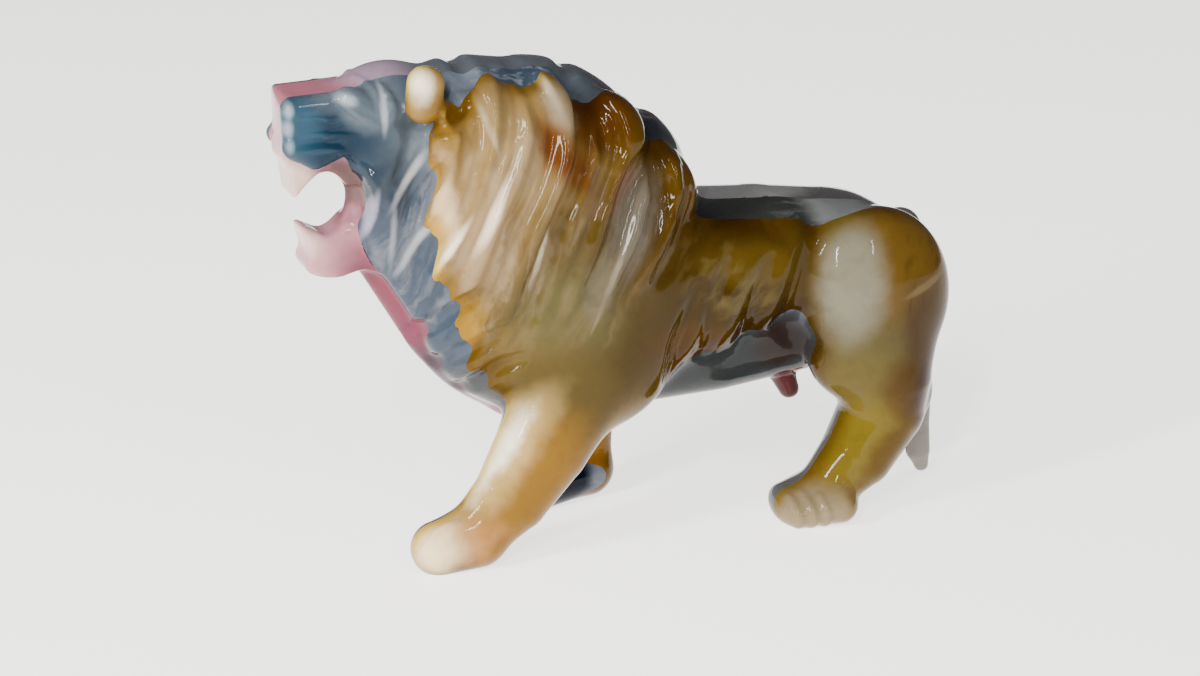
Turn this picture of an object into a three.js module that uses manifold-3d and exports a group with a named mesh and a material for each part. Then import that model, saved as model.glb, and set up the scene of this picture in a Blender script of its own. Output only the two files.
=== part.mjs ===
// Onyx lion figurine, carved out of a block of five glued onyx slabs and polished.
// Millimetres, +Z up. The head looks towards -X, the left flank faces -Y, the soles stand on Z = 0.
import * as THREE from 'three';
import Module from 'manifold-3d';

// The block: each joint between two slabs is a plane from nose to tail
const CENTRE_SLAB_HALF = 6.5;
const INNER_SLAB_OUTER_FACE = 13.25;
const BLOCK_LENGTH = 180;
const BLOCK_HEIGHT = 130;
const BLOCK_HALF_WIDTH = 32;

// The animal
const BACK_HEIGHT = 60.2;
const TRUNK_HALF_WIDTH = 18.6;
const MANE_HALF_WIDTH = 25;
const MANE_CREST_HEIGHT = 79;
const SHOULDER_OFFSET = 12;
const FORELEG_OFFSET = 14;
const HIND_LEG_OFFSET = 13.2;
const THIGH_HALF_WIDTH = 10.8;
const MUZZLE_HALF_WIDTH = 10;
const MUZZLE_HALF_HEIGHT = 6.6;
const JAW_HALF_WIDTH = 5.9;
const MOUTH_CENTRE_X = -65.4;
const MOUTH_CENTRE_Z = 81.4;
const MOUTH_RADIUS_INNER = 8.4;
const MOUTH_RADIUS_OUTER = 10.4;
const EAR_SIZE = [4.4, 3.8, 5.9];
const EAR_ROUNDING = 3.6;
const RIGHT_EYE_DROP = 2.6;

// The carving
const LOCK_RADIUS = 5;
const LOCK_HEIGHT = 2.1;
const VALLEY_RADIUS = 4;
const VALLEY_DEPTH = 2.4;
const NOTCH_DEPTH = 1.9;
const RIB_RADIUS = 3.4;
const RIB_DEPTH = 1.9;
const CREASE_RADIUS = 4.2;
const CREASE_DEPTH = 1.6;
const RIGHT_LOBE_DROP = 3.4;

// The skin laid over the clay; the clay's middle is MIDDLE_X from the finished part's
const CELL = 3.7;
const FAR = 40;
const FLANK_EVENING = 0.3;
const SKIN_LOW = new THREE.Vector3(-80.3, -30.1, -7.2);
const MIDDLE_X = 3;
const SKIN_HIGH = new THREE.Vector3(87, 30, 116);

const at = (x, y, z) => new THREE.Vector3(x, y, z);
const degrees = THREE.MathUtils.degToRad;

// Distances: negative inside a form, positive outside
function turned(centre, pitch = 0, yaw = 0) {
  const turn = new THREE.Matrix4().makeRotationFromEuler(new THREE.Euler(0, -degrees(pitch), degrees(yaw), 'ZYX'));
  return new THREE.Matrix4().makeTranslation(centre).multiply(turn).invert();
}

function boxAround(centre, reach) {
  return new THREE.Box3().setFromCenterAndSize(centre, at(2 * reach, 2 * reach, 2 * reach));
}

function ellipsoid(centre, [a, b, c], pitch = 0) {
  const inverse = turned(centre, pitch);
  const local = new THREE.Vector3();
  const distance = (point) => {
    local.copy(point).applyMatrix4(inverse);
    const near = Math.hypot(local.x / a, local.y / b, local.z / c);
    const slope = Math.hypot(local.x / a ** 2, local.y / b ** 2, local.z / c ** 2);
    return (near * (near - 1)) / (slope + 1e-6);
  };
  return { box: boxAround(centre, Math.max(a, b, c)), distance };
}

function softBlock(centre, [a, b, c], rounding, pitch = 0, yaw = 0) {
  const inverse = turned(centre, pitch, yaw);
  const local = new THREE.Vector3();
  const distance = (point) => {
    local.copy(point).applyMatrix4(inverse);
    const x = Math.abs(local.x) - a + rounding;
    const y = Math.abs(local.y) - b + rounding;
    const z = Math.abs(local.z) - c + rounding;
    const outside = Math.hypot(Math.max(x, 0), Math.max(y, 0), Math.max(z, 0));
    return outside + Math.min(Math.max(x, y, z), 0) - rounding;
  };
  return { box: boxAround(centre, Math.max(a, b, c)), distance };
}

// A chain of round cones through the points; flatness is its width in Y over its depth
function limb(points, radii, flatness = 1) {
  const flat = (point) => at(point.x, point.y / flatness, point.z);
  const nodes = points.map(flat);
  const box = new THREE.Box3().setFromPoints(points).expandByScalar(Math.max(...radii) * Math.max(1, flatness));
  const line = new THREE.Line3();
  const foot = new THREE.Vector3();
  const distance = (point) => {
    const here = flat(point);
    let best = FAR;
    for (let i = 0; i + 1 < nodes.length; i += 1) {
      line.set(nodes[i], nodes[i + 1]);
      const along = line.closestPointToPointParameter(here, true);
      const radius = THREE.MathUtils.lerp(radii[i], radii[i + 1], along);
      best = Math.min(best, line.at(along, foot).distanceTo(here) - radius);
    }
    return best * Math.min(1, flatness);
  };
  return { box, distance };
}

// A flat shape in XZ with the given half thickness in Y and rounded edges
function plate(outline, halfThickness, rounding) {
  const corners = outline.getPoints(4).slice(0, -1);
  const bounds = new THREE.Box2().setFromPoints(corners);
  const box = new THREE.Box3(
    at(bounds.min.x, -halfThickness, bounds.min.y),
    at(bounds.max.x, halfThickness, bounds.max.y),
  );
  const distance = (point) => {
    const flat = signedOutlineDistance(corners, point.x, point.z) + rounding;
    const across = Math.abs(point.y) - halfThickness + rounding;
    const outside = Math.hypot(Math.max(flat, 0), Math.max(across, 0));
    return outside + Math.min(Math.max(flat, across), 0) - rounding;
  };
  return { box, distance };
}

function signedOutlineDistance(corners, x, z) {
  let nearest = Infinity;
  let inside = false;
  corners.forEach((b, i) => {
    const a = corners[(i + corners.length - 1) % corners.length];
    const alongX = b.x - a.x;
    const alongZ = b.y - a.y;
    const reach = ((x - a.x) * alongX + (z - a.y) * alongZ) / (alongX ** 2 + alongZ ** 2);
    const t = THREE.MathUtils.clamp(reach, 0, 1);
    nearest = Math.min(nearest, Math.hypot(x - a.x - alongX * t, z - a.y - alongZ * t));
    const crosses = (a.y > z) !== (b.y > z);
    if (crosses && x < a.x + (alongX * (z - a.y)) / alongZ) inside = !inside;
  });
  return inside ? -nearest : nearest;
}

function smoothOutline(points) {
  const outline = new THREE.Shape();
  outline.moveTo(...points[0]);
  outline.splineThru([...points.slice(1), points[0]].map(([x, z]) => new THREE.Vector2(x, z)));
  return outline;
}

// The clay: forms are added and cut one after the other with soft joins
const clay = [];

function softMin(a, b, blend) {
  if (blend <= 0) return Math.min(a, b);
  const h = Math.max(blend - Math.abs(a - b), 0) / blend;
  return Math.min(a, b) - (h ** 3 * blend) / 6;
}

function work(form, blend, cut) {
  const reach = form.box.clone().expandByScalar(Math.max(blend, 2) + 8);
  clay.push({ reach, distance: form.distance, blend, cut });
}

const add = (form, blend = 3) => work(form, blend, false);
const carve = (form, blend = 1) => work(form, blend, true);

function mirrored(form) {
  const flipped = new THREE.Vector3();
  const { min, max } = form.box;
  const box = new THREE.Box3(at(min.x, -max.y, min.z), at(max.x, -min.y, max.z));
  return { box, distance: (point) => form.distance(flipped.set(point.x, -point.y, point.z)) };
}

function addPair(form, blend) {
  add(form, blend);
  add(mirrored(form), blend);
}

function depth(point) {
  let value = FAR;
  for (const step of clay) {
    if (step.reach.containsPoint(point)) {
      const distance = step.distance(point);
      value = step.cut ? -softMin(-value, distance, step.blend) : softMin(value, distance, step.blend);
    }
  }
  return value;
}

function slope(point) {
  const e = 0.4;
  const along = (x, y, z) => {
    const ahead = depth(at(point.x + x, point.y + y, point.z + z));
    const behind = depth(at(point.x - x, point.y - y, point.z - z));
    return (ahead - behind) / (2 * e);
  };
  return at(along(e, 0, 0), along(0, e, 0), along(0, 0, e));
}

// The point of the flank above a place in the side view; side is -1 for the left
function onFlank(x, z, side) {
  const point = at(x, side * BLOCK_HALF_WIDTH, z);
  while (depth(point) > 0.05 && Math.abs(point.y) > 1) {
    point.y -= side * Math.max(0.15, 0.5 * Math.min(depth(point), 6));
  }
  return point;
}

// The point of the back or the crest above a place in the ground plan
function onTop(x, y) {
  const point = at(x, y, BLOCK_HEIGHT - 10);
  while (depth(point) > 0.05 && point.z > 60) point.z -= Math.max(0.15, 0.5 * Math.min(depth(point), 6));
  return point;
}

// A curve drawn in the side view and laid on one flank, with weights that fade towards its ends
function pathOnFlank(places, side) {
  const drawn = places.map(([x, z]) => onFlank(x, z, side));
  const path = new THREE.CatmullRomCurve3(drawn).getPoints(3 * (drawn.length - 1));
  return path.map((point, i) => ({ point, fading: Math.sin((Math.PI * (i + 0.5)) / path.length) ** 0.6 }));
}

const lifted = (point, height) => point.clone().addScaledVector(slope(point).normalize(), height);

// A groove pressed into one flank; side is -1 for the left
function groove(places, side, radius, depthOfCut, blend = 2.5) {
  const path = pathOnFlank(places, side);
  const nodes = path.map(({ point, fading }) => lifted(point, radius - depthOfCut * fading));
  carve(limb(nodes, nodes.map(() => radius)), blend);
}

// A ridge laid on one flank, thinner towards its ends
function ridge(places, side, radius, height, blend = 2.5) {
  const path = pathOnFlank(places, side);
  const radii = path.map(({ fading }) => radius * (0.35 + 0.65 * fading));
  const nodes = path.map(({ point, fading }, i) => lifted(point, height * fading - radii[i]));
  add(limb(nodes, radii), blend);
}

function buildTrunk() {
  add(softBlock(at(26, 0, BACK_HEIGHT), [43, TRUNK_HALF_WIDTH, 13.6], 13.5, -5), 0);
  add(limb([at(-2, 0, 54), at(16, 0, 56), at(34, 0, 58.5), at(50, 0, 58)], [20, 19, 16.3, 14.5], 1.05), 5);
  add(limb([at(-4, 0, 43.5), at(24, 0, 44), at(44, 0, 45.5)], [16, 15.4, 14.5], 0.72), 5);
  addPair(limb([at(-46.6, 6, 73), at(-34.6, 6, 55.5), at(-19.6, 6, 41)], [10.8, 12, 12], 0.6), 4);
  add(limb([at(-46.6, 0, 73), at(-34.6, 0, 55.5), at(-19.6, 0, 41)], [14, 15.5, 14.5], 0.46), 1.5);
}

// Lobes of the crest on the left; those on the right are a little lower
const CREST_LOBES = [
  { centre: [-32, 12.5, 97], radii: [6.4, 7, 10.6], pitch: 4 },
  { centre: [-20, 12.5, 96.6], radii: [6.6, 7.5, 11], pitch: 14 },
  { centre: [-4.5, 12, 91.5], radii: [7, 7.5, 10.6], pitch: 24 },
  { centre: [7, 11, 80.5], radii: [6.6, 7.5, 9.5], pitch: 30 },
];

function buildMane() {
  add(ellipsoid(at(-22, 0, MANE_CREST_HEIGHT - 0.5), [30.5, MANE_HALF_WIDTH, 30]), 4);
  add(ellipsoid(at(-10, 0, 70), [28, MANE_HALF_WIDTH - 0.4, 28.5]), 5);
  add(ellipsoid(at(1, 0, 82), [13, 18, 14]), 5);
  add(ellipsoid(at(-19, 0, 57), [25, 22.5, 24], -20), 6);
  add(ellipsoid(at(-27, 0, 49), [16, 19, 15]), 6);
  add(ellipsoid(at(-35.5, 0, 91.5), [16, 17.5, 17.5]), 6);
  addPair(ellipsoid(at(-27, SHOULDER_OFFSET, 93), [13.5, 9, 12.5]), 5);
  addPair(ellipsoid(at(-8, SHOULDER_OFFSET - 1, 87), [10, 8, 12], 30), 5);
  addPair(ellipsoid(at(-41.5, SHOULDER_OFFSET + 1.5, 95.8), [5, 6, 7.5]), 2);
  addPair(ellipsoid(at(-9, SHOULDER_OFFSET, 46), [19, 11, 19]), 6);
  for (const { centre: [x, y, z], radii, pitch } of CREST_LOBES) {
    add(ellipsoid(at(x, -y, z), radii, pitch), 2);
    add(ellipsoid(at(x + 1, y - 2, z - RIGHT_LOBE_DROP), radii, pitch), 2);
  }
}

// A paw, round like a slipper
function paw(heel, toe, radii, flatness) {
  add(limb([heel, toe], radii, flatness), 3);
}

// The left legs reach forward, the right foreleg stands straight and the right hind leg pushes back
function buildLegs() {
  const fore = FORELEG_OFFSET;
  const leftFore = [at(-12, -13, 42), at(-21.5, -14.4, 26), at(-29, -14.8, 15), at(-37, -fore, 7)];
  add(limb(leftFore, [12.5, 10.6, 8.7, 6.8], 0.82), 5);
  paw(at(-37, -fore, 6.4), at(-45.6, -fore, 4.6), [6.8, 6], 1.08);
  const rightFore = [at(-6, fore, 42), at(-3, 18.5, 26), at(-1.8, 19, 14), at(-1, 19, 6)];
  add(limb(rightFore, [13, 10, 8.2, 7.2], 0.6), 4);
  paw(at(0.5, 19, 5.4), at(-12.5, 15.8, 4.6), [5.6, 6], 1.15);
  const hip = HIND_LEG_OFFSET;
  add(ellipsoid(at(57.6, -hip, 51), [17.8, THIGH_HALF_WIDTH, 20.4], 4), 4);
  add(ellipsoid(at(59, hip - 1, 46.5), [17, THIGH_HALF_WIDTH - 0.3, 19], 4), 4);
  add(ellipsoid(at(57, -hip, 38), [15, THIGH_HALF_WIDTH, 12]), 4);
  const leftHind = [at(60, -hip, 31), at(60.4, -hip, 24), at(54.6, -hip, 14), at(46, -13.4, 5.8)];
  add(limb(leftHind, [11, 9.6, 8.4, 6], 1.06), 4);
  add(ellipsoid(at(68.2, -hip, 27), [4.4, 4, 6]), 4);
  paw(at(47, -13.5, 4.6), at(38.4, -13.6, 3.2), [5.8, 4.6], 2.1);
  const rightHind = [at(62, hip, 42), at(69, hip + 0.8, 30), at(71.5, hip + 1.4, 22), at(70.5, hip + 1.8, 8)];
  add(limb(rightHind, [13, 10, 8, 7], 0.84), 4);
  paw(at(72, hip + 1.8, 6), at(65.6, hip + 1.8, 4.4), [6.6, 5.6], 1.2);
}

function buildHead() {
  add(ellipsoid(at(-50.5, 0, 96.6), [14, 12.4, 12.4]), 4);
  add(softBlock(at(-64, 0, 98), [10.8, MUZZLE_HALF_WIDTH, MUZZLE_HALF_HEIGHT], 2.6, 3), 3);
  add(ellipsoid(at(-52, 0, 84), [10, 12.6, 15]), 5);
}

// The mouth is cut through from side to side; lips, fangs and lower jaw stay in the centre slab
function buildMouth() {
  const flare = (x) => limb(
    [at(x, -CENTRE_SLAB_HALF, MOUTH_CENTRE_Z), at(x, -14, MOUTH_CENTRE_Z)],
    [MOUTH_RADIUS_INNER, MOUTH_RADIUS_OUTER],
  );
  for (const x of [MOUTH_CENTRE_X, MOUTH_CENTRE_X - 11]) {
    carve(flare(x), 0.8);
    carve(mirrored(flare(x)), 0.8);
  }
  const lip = new THREE.Shape([
    [-73.8, 97], [-74.4, 91], [-73.2, 88.6], [-72.8, 85], [-72.4, 81.2], [-69.6, 81.2],
    [-66, 85], [-58, 84], [-58, 97],
  ].map(([x, z]) => new THREE.Vector2(x, z)));
  add(plate(lip, JAW_HALF_WIDTH, 1), 1.2);
  const jaw = smoothOutline([
    [-70.8, 76.6], [-66, 75.2], [-54, 78], [-50, 72], [-52, 65], [-58, 65.8],
    [-63.5, 64.6], [-68.6, 65.6], [-70.4, 67.8], [-69.6, 71],
  ]);
  add(plate(jaw, JAW_HALF_WIDTH, 1.5), 2.5);
  const opening = smoothOutline([
    [-84, 82.4], [-74, 82.2], [-72.2, 82.6], [-70.6, 84.2], [-67.6, 87], [-65.2, 87.7], [-62.6, 86.4],
    [-60.8, 83.4], [-60.4, 80], [-61.2, 77], [-63, 74.8], [-65.4, 73.9], [-68, 75], [-70.2, 76],
    [-72.5, 75.8], [-84, 75.8],
  ]);
  carve(plate(opening, CENTRE_SLAB_HALF + 0.5, 0.3), 0.8);
  const besideJaw = [
    at(-76, 7.4, 78), at(-71.5, 7.4, 77.6), at(-68, 7.4, 76.6), at(-65.4, 7.4, 75.4), at(-62, 7.4, 76.4),
  ];
  const rounding = limb(besideJaw, [3.4, 3.4, 3, 2.6, 2.2]);
  carve(rounding, 2);
  carve(mirrored(rounding), 2);
  addPair(limb([at(-72.6, 7.6, 93.8), at(-68, 7.6, 91.2), at(-63.4, 7.6, 92.8)], [2.2, 2.4, 2]), 1.2);
}

function buildTail() {
  const tail = [
    at(70, 0, 62), at(76, 0, 54), at(77, 0, 42), at(76.4, 0, 28), at(76.4, 0, 14), at(77.2, 0, 7), at(78.6, 0, 3.4),
  ];
  add(limb(tail, [5, 4, 3.8, 3.4, 3.1, 2.9, 1.8]), 2);
  add(limb([at(40, 0, 33), at(43, 0, 26.5)], [3.4, 2.4]), 2);
}

// Eyes and ears are laid on the combed mane; the right ear stands lower
function buildEyesAndEars() {
  add(ellipsoid(at(-58.6, -9, 101.4), [6.2, 3.1, 3.5], -38), 0.8);
  add(ellipsoid(at(-58.6, 9, 101.4 - RIGHT_EYE_DROP), [6.2, 3.1, 3.5], -38), 0.8);
  add(softBlock(at(-46.4, -14.2, 104.5), EAR_SIZE, EAR_ROUNDING, -6), 0.7);
  add(softBlock(at(-45.5, 13.5, 99.4), EAR_SIZE, EAR_ROUNDING, -6), 0.7);
}

// Locks of the mane start at the crest, swing back and curl forward again, with valleys between them
const LOCKS = [
  [[-40, 99], [-40.5, 95], [-41.5, 90], [-44, 83], [-47, 76]],
  [[-35, 106], [-33, 100], [-34, 93], [-36.5, 86], [-40, 78], [-43, 70], [-46, 61]],
  [[-26, 101], [-28, 94], [-31, 87], [-34.5, 80], [-37, 72], [-39, 63], [-42, 54]],
  [[-21, 106], [-17.5, 100], [-17, 93], [-19.5, 86], [-24, 78], [-27, 69], [-30, 59], [-35, 49]],
  [[-12.5, 96], [-11, 90], [-13, 84], [-17, 76], [-21, 66], [-26, 54]],
  [[-9, 102], [-4, 98], [-3.5, 92], [-6.5, 86], [-10, 79], [-13, 70], [-18, 60]],
  [[-1, 88], [-0.5, 81], [-4, 72], [-8, 63], [-13, 54]],
  [[4, 90], [7, 85], [7, 78], [3.5, 70], [-2, 62]],
];
const VALLEYS = [
  [[-43, 96], [-44, 91], [-47, 85], [-51, 80]],
  [[-37.5, 104], [-37.3, 98], [-38, 91], [-40, 84], [-43, 77], [-48, 69]],
  [[-29.5, 107], [-29.5, 100], [-31, 92], [-34.5, 84], [-38, 76], [-41, 67], [-47, 57]],
  [[-25, 108], [-22.5, 99], [-23, 92], [-26, 84], [-30, 76], [-33, 67], [-36, 58], [-42, 48]],
  [[-14.5, 106], [-13.5, 98], [-14.5, 91], [-17.5, 84], [-21.5, 76], [-25, 66], [-29, 55], [-34, 46]],
  [[-11, 103], [-8, 97], [-8, 91], [-11, 85], [-15, 78], [-19, 68], [-24, 57]],
  [[1, 98], [2, 92], [-1.5, 87], [-6, 81], [-9, 72], [-14, 62]],
  [[2.5, 90], [3.5, 84], [1.5, 77], [-3, 68], [-9, 58]],
  [[10, 86], [10.5, 79], [7.5, 71], [2, 63]],
];
const EDGE_NOTCHES = [
  [[-38, 100.5], [-43.5, 98.6], [-50, 98]],
  [[-36, 62], [-42, 57], [-48, 50]],
  [[-32, 54], [-37.5, 49.5], [-43, 44]],
  [[-27, 48], [-33, 44.5], [-38, 38]],
];
const NECK_VALLEYS = [
  [[-46, 97], [-49, 90], [-53, 84]],
  [[-44, 88], [-48, 80], [-51, 70]],
  [[-44, 78], [-46, 71], [-48, 63]],
];
const RIBS = [
  [[12.5, 58], [8.5, 48], [6.5, 38]],
  [[19.5, 63], [16, 54], [15.3, 43]],
  [[30, 63], [26.6, 55], [25.8, 45]],
  [[38.5, 63], [36, 55], [35, 46]],
];
const THIGH_CREASE = [[43.5, 72], [41, 66], [39.5, 58], [39, 50], [40, 43]];
const CREST_PARTINGS = [[-36, 0], [-11.9, 4], [5.5, 4]];

function carveCoat(side) {
  for (const lock of LOCKS) ridge(lock, side, LOCK_RADIUS, LOCK_HEIGHT);
  for (const valley of VALLEYS) groove(valley, side, VALLEY_RADIUS, VALLEY_DEPTH);
  for (const notch of EDGE_NOTCHES) groove(notch, side, VALLEY_RADIUS, NOTCH_DEPTH);
  for (const valley of NECK_VALLEYS) groove(valley, side, VALLEY_RADIUS, VALLEY_DEPTH * 0.8);
  for (const rib of RIBS) groove(rib, side, RIB_RADIUS, RIB_DEPTH, 2.5);
  groove(THIGH_CREASE, side, CREASE_RADIUS, CREASE_DEPTH, 3);
}

// Partings between the lobes run over the crest from flank to flank
function partCrest(x, slant) {
  const nodes = [-12, -8, -4, 0, 4, 8, 12].map((y) => {
    const top = onTop(x - slant * (y / 12) ** 2, y);
    return lifted(top, VALLEY_RADIUS - 0.7 * VALLEY_DEPTH);
  });
  carve(limb(nodes, nodes.map(() => VALLEY_RADIUS)), 1.5);
}

// Skin: each sheet of surface inside a cell of the lattice gets one vertex, and each crossed lattice
// edge gets a quad between the four cells around it
const AXES = [[1, 0, 0], [0, 1, 0], [0, 0, 1]];

function lattice() {
  const size = SKIN_HIGH.clone().sub(SKIN_LOW).divideScalar(CELL).ceil();
  const [nx, ny, nz] = [size.x + 1, size.y + 1, size.z + 1];
  const index = (i, j, k) => i + nx * (j + ny * k);
  const place = (i, j, k) => at(i, j, k).multiplyScalar(CELL).add(SKIN_LOW);
  const values = new Float64Array(nx * ny * nz);
  const each = (from, to, visit) => {
    for (let k = from; k < nz - to; k += 1) {
      for (let j = from; j < ny - to; j += 1) {
        for (let i = from; i < nx - to; i += 1) visit(i, j, k);
      }
    }
  };
  each(0, 0, (i, j, k) => {
    values[index(i, j, k)] = depth(place(i, j, k));
  });
  return { value: (i, j, k) => values[index(i, j, k)], place, each };
}

const edgeName = (i, j, k, axis) => `${i} ${j} ${k} ${axis}`;

// Crossed edges of one face, in pairs that a sheet of surface joins; sheets part between inside corners
function facePairs(grid, i, j, k, axis) {
  const [u, v] = [AXES[(axis + 1) % 3], AXES[(axis + 2) % 3]];
  const corner = (a, b) => [i + a * u[0] + b * v[0], j + a * u[1] + b * v[1], k + a * u[2] + b * v[2]];
  const inside = [[0, 0], [1, 0], [1, 1], [0, 1]].map(([a, b]) => grid.value(...corner(a, b)) < 0);
  const edges = [
    edgeName(...corner(0, 0), (axis + 1) % 3),
    edgeName(...corner(1, 0), (axis + 2) % 3),
    edgeName(...corner(0, 1), (axis + 1) % 3),
    edgeName(...corner(0, 0), (axis + 2) % 3),
  ];
  const crossed = edges.filter((name, n) => inside[n] !== inside[(n + 1) % 4]);
  if (crossed.length < 4) return crossed.length === 2 ? [crossed] : [];
  return inside[0] ? [[edges[3], edges[0]], [edges[1], edges[2]]] : [[edges[0], edges[1]], [edges[2], edges[3]]];
}

function sheetsOf(grid, i, j, k) {
  const sheets = [];
  for (let axis = 0; axis < 3; axis += 1) {
    const [x, y, z] = AXES[axis];
    const pairs = [...facePairs(grid, i, j, k, axis), ...facePairs(grid, i + x, j + y, k + z, axis)];
    for (const pair of pairs) {
      const touching = sheets.filter((sheet) => pair.some((name) => sheet.has(name)));
      const joined = new Set([...pair, ...touching.flatMap((sheet) => [...sheet])]);
      for (const sheet of touching) sheets.splice(sheets.indexOf(sheet), 1);
      sheets.push(joined);
    }
  }
  return sheets;
}

function crossingPoint(grid, name) {
  const [i, j, k, axis] = name.split(' ').map(Number);
  const [x, y, z] = AXES[axis];
  const [near, far] = [grid.value(i, j, k), grid.value(i + x, j + y, k + z)];
  return grid.place(i, j, k).lerp(grid.place(i + x, j + y, k + z), near / (near - far));
}

function skinClay() {
  const grid = lattice();
  const vertices = [];
  const vertexAt = new Map();
  grid.each(0, 1, (i, j, k) => {
    for (const sheet of sheetsOf(grid, i, j, k)) {
      const middle = new THREE.Vector3();
      for (const name of sheet) {
        middle.add(crossingPoint(grid, name));
        vertexAt.set(`${i} ${j} ${k} > ${name}`, vertices.length);
      }
      vertices.push(settle(middle.divideScalar(sheet.size), grid.place(i, j, k)));
    }
  });
  const triangles = [];
  grid.each(1, 1, (i, j, k) => {
    for (let axis = 0; axis < 3; axis += 1) {
      const [x, y, z] = AXES[axis];
      const there = grid.value(i + x, j + y, k + z) < 0;
      if ((grid.value(i, j, k) < 0) !== there) {
        const [u, v] = [AXES[(axis + 1) % 3], AXES[(axis + 2) % 3]];
        const ring = [[0, 0], [1, 0], [1, 1], [0, 1]].map(([a, b]) => {
          const cell = [i - a * u[0] - b * v[0], j - a * u[1] - b * v[1], k - a * u[2] - b * v[2]];
          return vertexAt.get(`${cell.join(' ')} > ${edgeName(i, j, k, axis)}`);
        });
        if (there) ring.reverse();
        addQuad(ring, vertices, triangles);
      }
    }
  });
  evenFlanks(vertices, triangles);
  return { vertices, triangles };
}

// Even out the flanks, where the carving is finer than the lattice
function evenFlanks(vertices, triangles) {
  const around = vertices.map(() => new Set());
  triangles.forEach((corner, i) => {
    const next = triangles[i % 3 === 2 ? i - 2 : i + 1];
    around[corner].add(next);
    around[next].add(corner);
  });
  const averages = around.map((neighbours) => {
    const sum = at(0, 0, 0);
    for (const n of neighbours) sum.add(vertices[n]);
    return sum.divideScalar(neighbours.size);
  });
  vertices.forEach((vertex, i) => {
    if (Math.abs(vertex.y) > INNER_SLAB_OUTER_FACE + 1) vertex.lerp(averages[i], FLANK_EVENING);
  });
}

// Move a vertex onto the surface, and onto a slab joint that is close by, without leaving its cell
function settle(vertex, cellLow) {
  const joints = [-INNER_SLAB_OUTER_FACE, -CENTRE_SLAB_HALF, CENTRE_SLAB_HALF, INNER_SLAB_OUTER_FACE];
  const margin = 0.1 * CELL;
  const low = cellLow.clone().addScalar(margin);
  const high = cellLow.clone().addScalar(CELL - margin);
  const crossed = joints.find((y) => Math.abs(vertex.y - y) < 0.42 * CELL && y > low.y && y < high.y);
  const runsAlong = Math.abs(slope(vertex).normalize().y) > 0.65;
  const joint = runsAlong ? undefined : crossed;
  for (let round = 0; round < 3; round += 1) {
    if (joint !== undefined) vertex.y = joint;
    const normal = slope(vertex);
    if (joint !== undefined) normal.y = 0;
    const steep = normal.lengthSq();
    if (steep > 0.05) vertex.addScaledVector(normal, (-0.7 * depth(vertex)) / Math.max(steep, 0.6));
    vertex.clamp(low, high);
  }
  return vertex;
}

function addQuad(ring, vertices, triangles) {
  const [a, b, c, d] = ring;
  const firstIsShort = vertices[a].distanceTo(vertices[c]) < vertices[b].distanceTo(vertices[d]);
  triangles.push(...(firstIsShort ? [a, b, c, a, c, d] : [a, b, d, b, c, d]));
}

function solidOf(wasm, positions, triangles) {
  return new wasm.Manifold(new wasm.Mesh({
    numProp: 3,
    vertProperties: Float32Array.from(positions),
    triVerts: Uint32Array.from(triangles),
  }));
}

function slabBlock(wasm, fromY, toY) {
  const box = new THREE.BoxGeometry(BLOCK_LENGTH, toY - fromY, BLOCK_HEIGHT);
  box.translate(0, (fromY + toY) / 2, BLOCK_HEIGHT / 2);
  const corners = new THREE.Vector3();
  const keys = new Map();
  const positions = [];
  const source = box.getAttribute('position');
  const merged = Array.from(box.index.array, (i) => {
    corners.fromBufferAttribute(source, i);
    const y = corners.y < (fromY + toY) / 2 ? fromY : toY;
    const key = [corners.x, y, corners.z].join(' ');
    if (!keys.has(key)) {
      keys.set(key, keys.size);
      positions.push(corners.x, y, corners.z);
    }
    return keys.get(key);
  });
  return solidOf(wasm, positions, merged);
}

function meshOf(solid, name, material) {
  const { vertProperties, triVerts } = solid.getMesh();
  const geometry = new THREE.BufferGeometry();
  geometry.setAttribute('position', new THREE.BufferAttribute(vertProperties, 3));
  geometry.setIndex(new THREE.BufferAttribute(triVerts, 1));
  geometry.translate(-MIDDLE_X, 0, 0);
  geometry.computeVertexNormals();
  const mesh = new THREE.Mesh(geometry, material);
  mesh.name = name;
  return mesh;
}

function onyx(colour) {
  return new THREE.MeshStandardMaterial({ color: colour, roughness: 0.14, metalness: 0 });
}

function sculpt() {
  buildTrunk();
  buildMane();
  buildLegs();
  buildHead();
  buildMouth();
  buildTail();
  for (const side of [-1, 1]) carveCoat(side);
  for (const [x, slant] of CREST_PARTINGS) partCrest(x, slant);
  buildEyesAndEars();
}

async function buildLion() {
  const wasm = await Module();
  wasm.setup();
  sculpt();
  const { vertices, triangles } = skinClay();
  const lion = solidOf(wasm, vertices.flatMap((v) => v.toArray()), triangles);
  const slabs = [
    [['honey_onyx_left'], -BLOCK_HALF_WIDTH, -INNER_SLAB_OUTER_FACE, '#c08a35'],
    [['blue_grey_onyx_left'], -INNER_SLAB_OUTER_FACE, -CENTRE_SLAB_HALF, '#5c7482'],
    [['pink_onyx_centre'], -CENTRE_SLAB_HALF, CENTRE_SLAB_HALF, '#c78b95'],
    [['blue_grey_onyx_right', 'blue_grey_onyx_forepaw'], CENTRE_SLAB_HALF, INNER_SLAB_OUTER_FACE, '#5c7482'],
    [['honey_onyx_right'], INNER_SLAB_OUTER_FACE, BLOCK_HALF_WIDTH, '#c08a35'],
  ];
  const group = new THREE.Group();
  for (const [names, fromY, toY, colour] of slabs) {
    const pieces = lion.intersect(slabBlock(wasm, fromY, toY)).decompose();
    pieces.sort((a, b) => b.volume() - a.volume());
    names.forEach((name, i) => group.add(meshOf(pieces[i], name, onyx(colour))));
  }
  return group;
}

export default await buildLion();
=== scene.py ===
"""Onyx lion figurine, carved out of a block of five glued onyx slabs and polished.

The animal is modelled as clay: forms with real sizes in millimetres are added to a lattice of
distances and cut out of it. The skin of the clay is engraved with the fine lines of the coat, sawn
along the glue joints of the block, and each slab is dressed in its own stone.
"""

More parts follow.
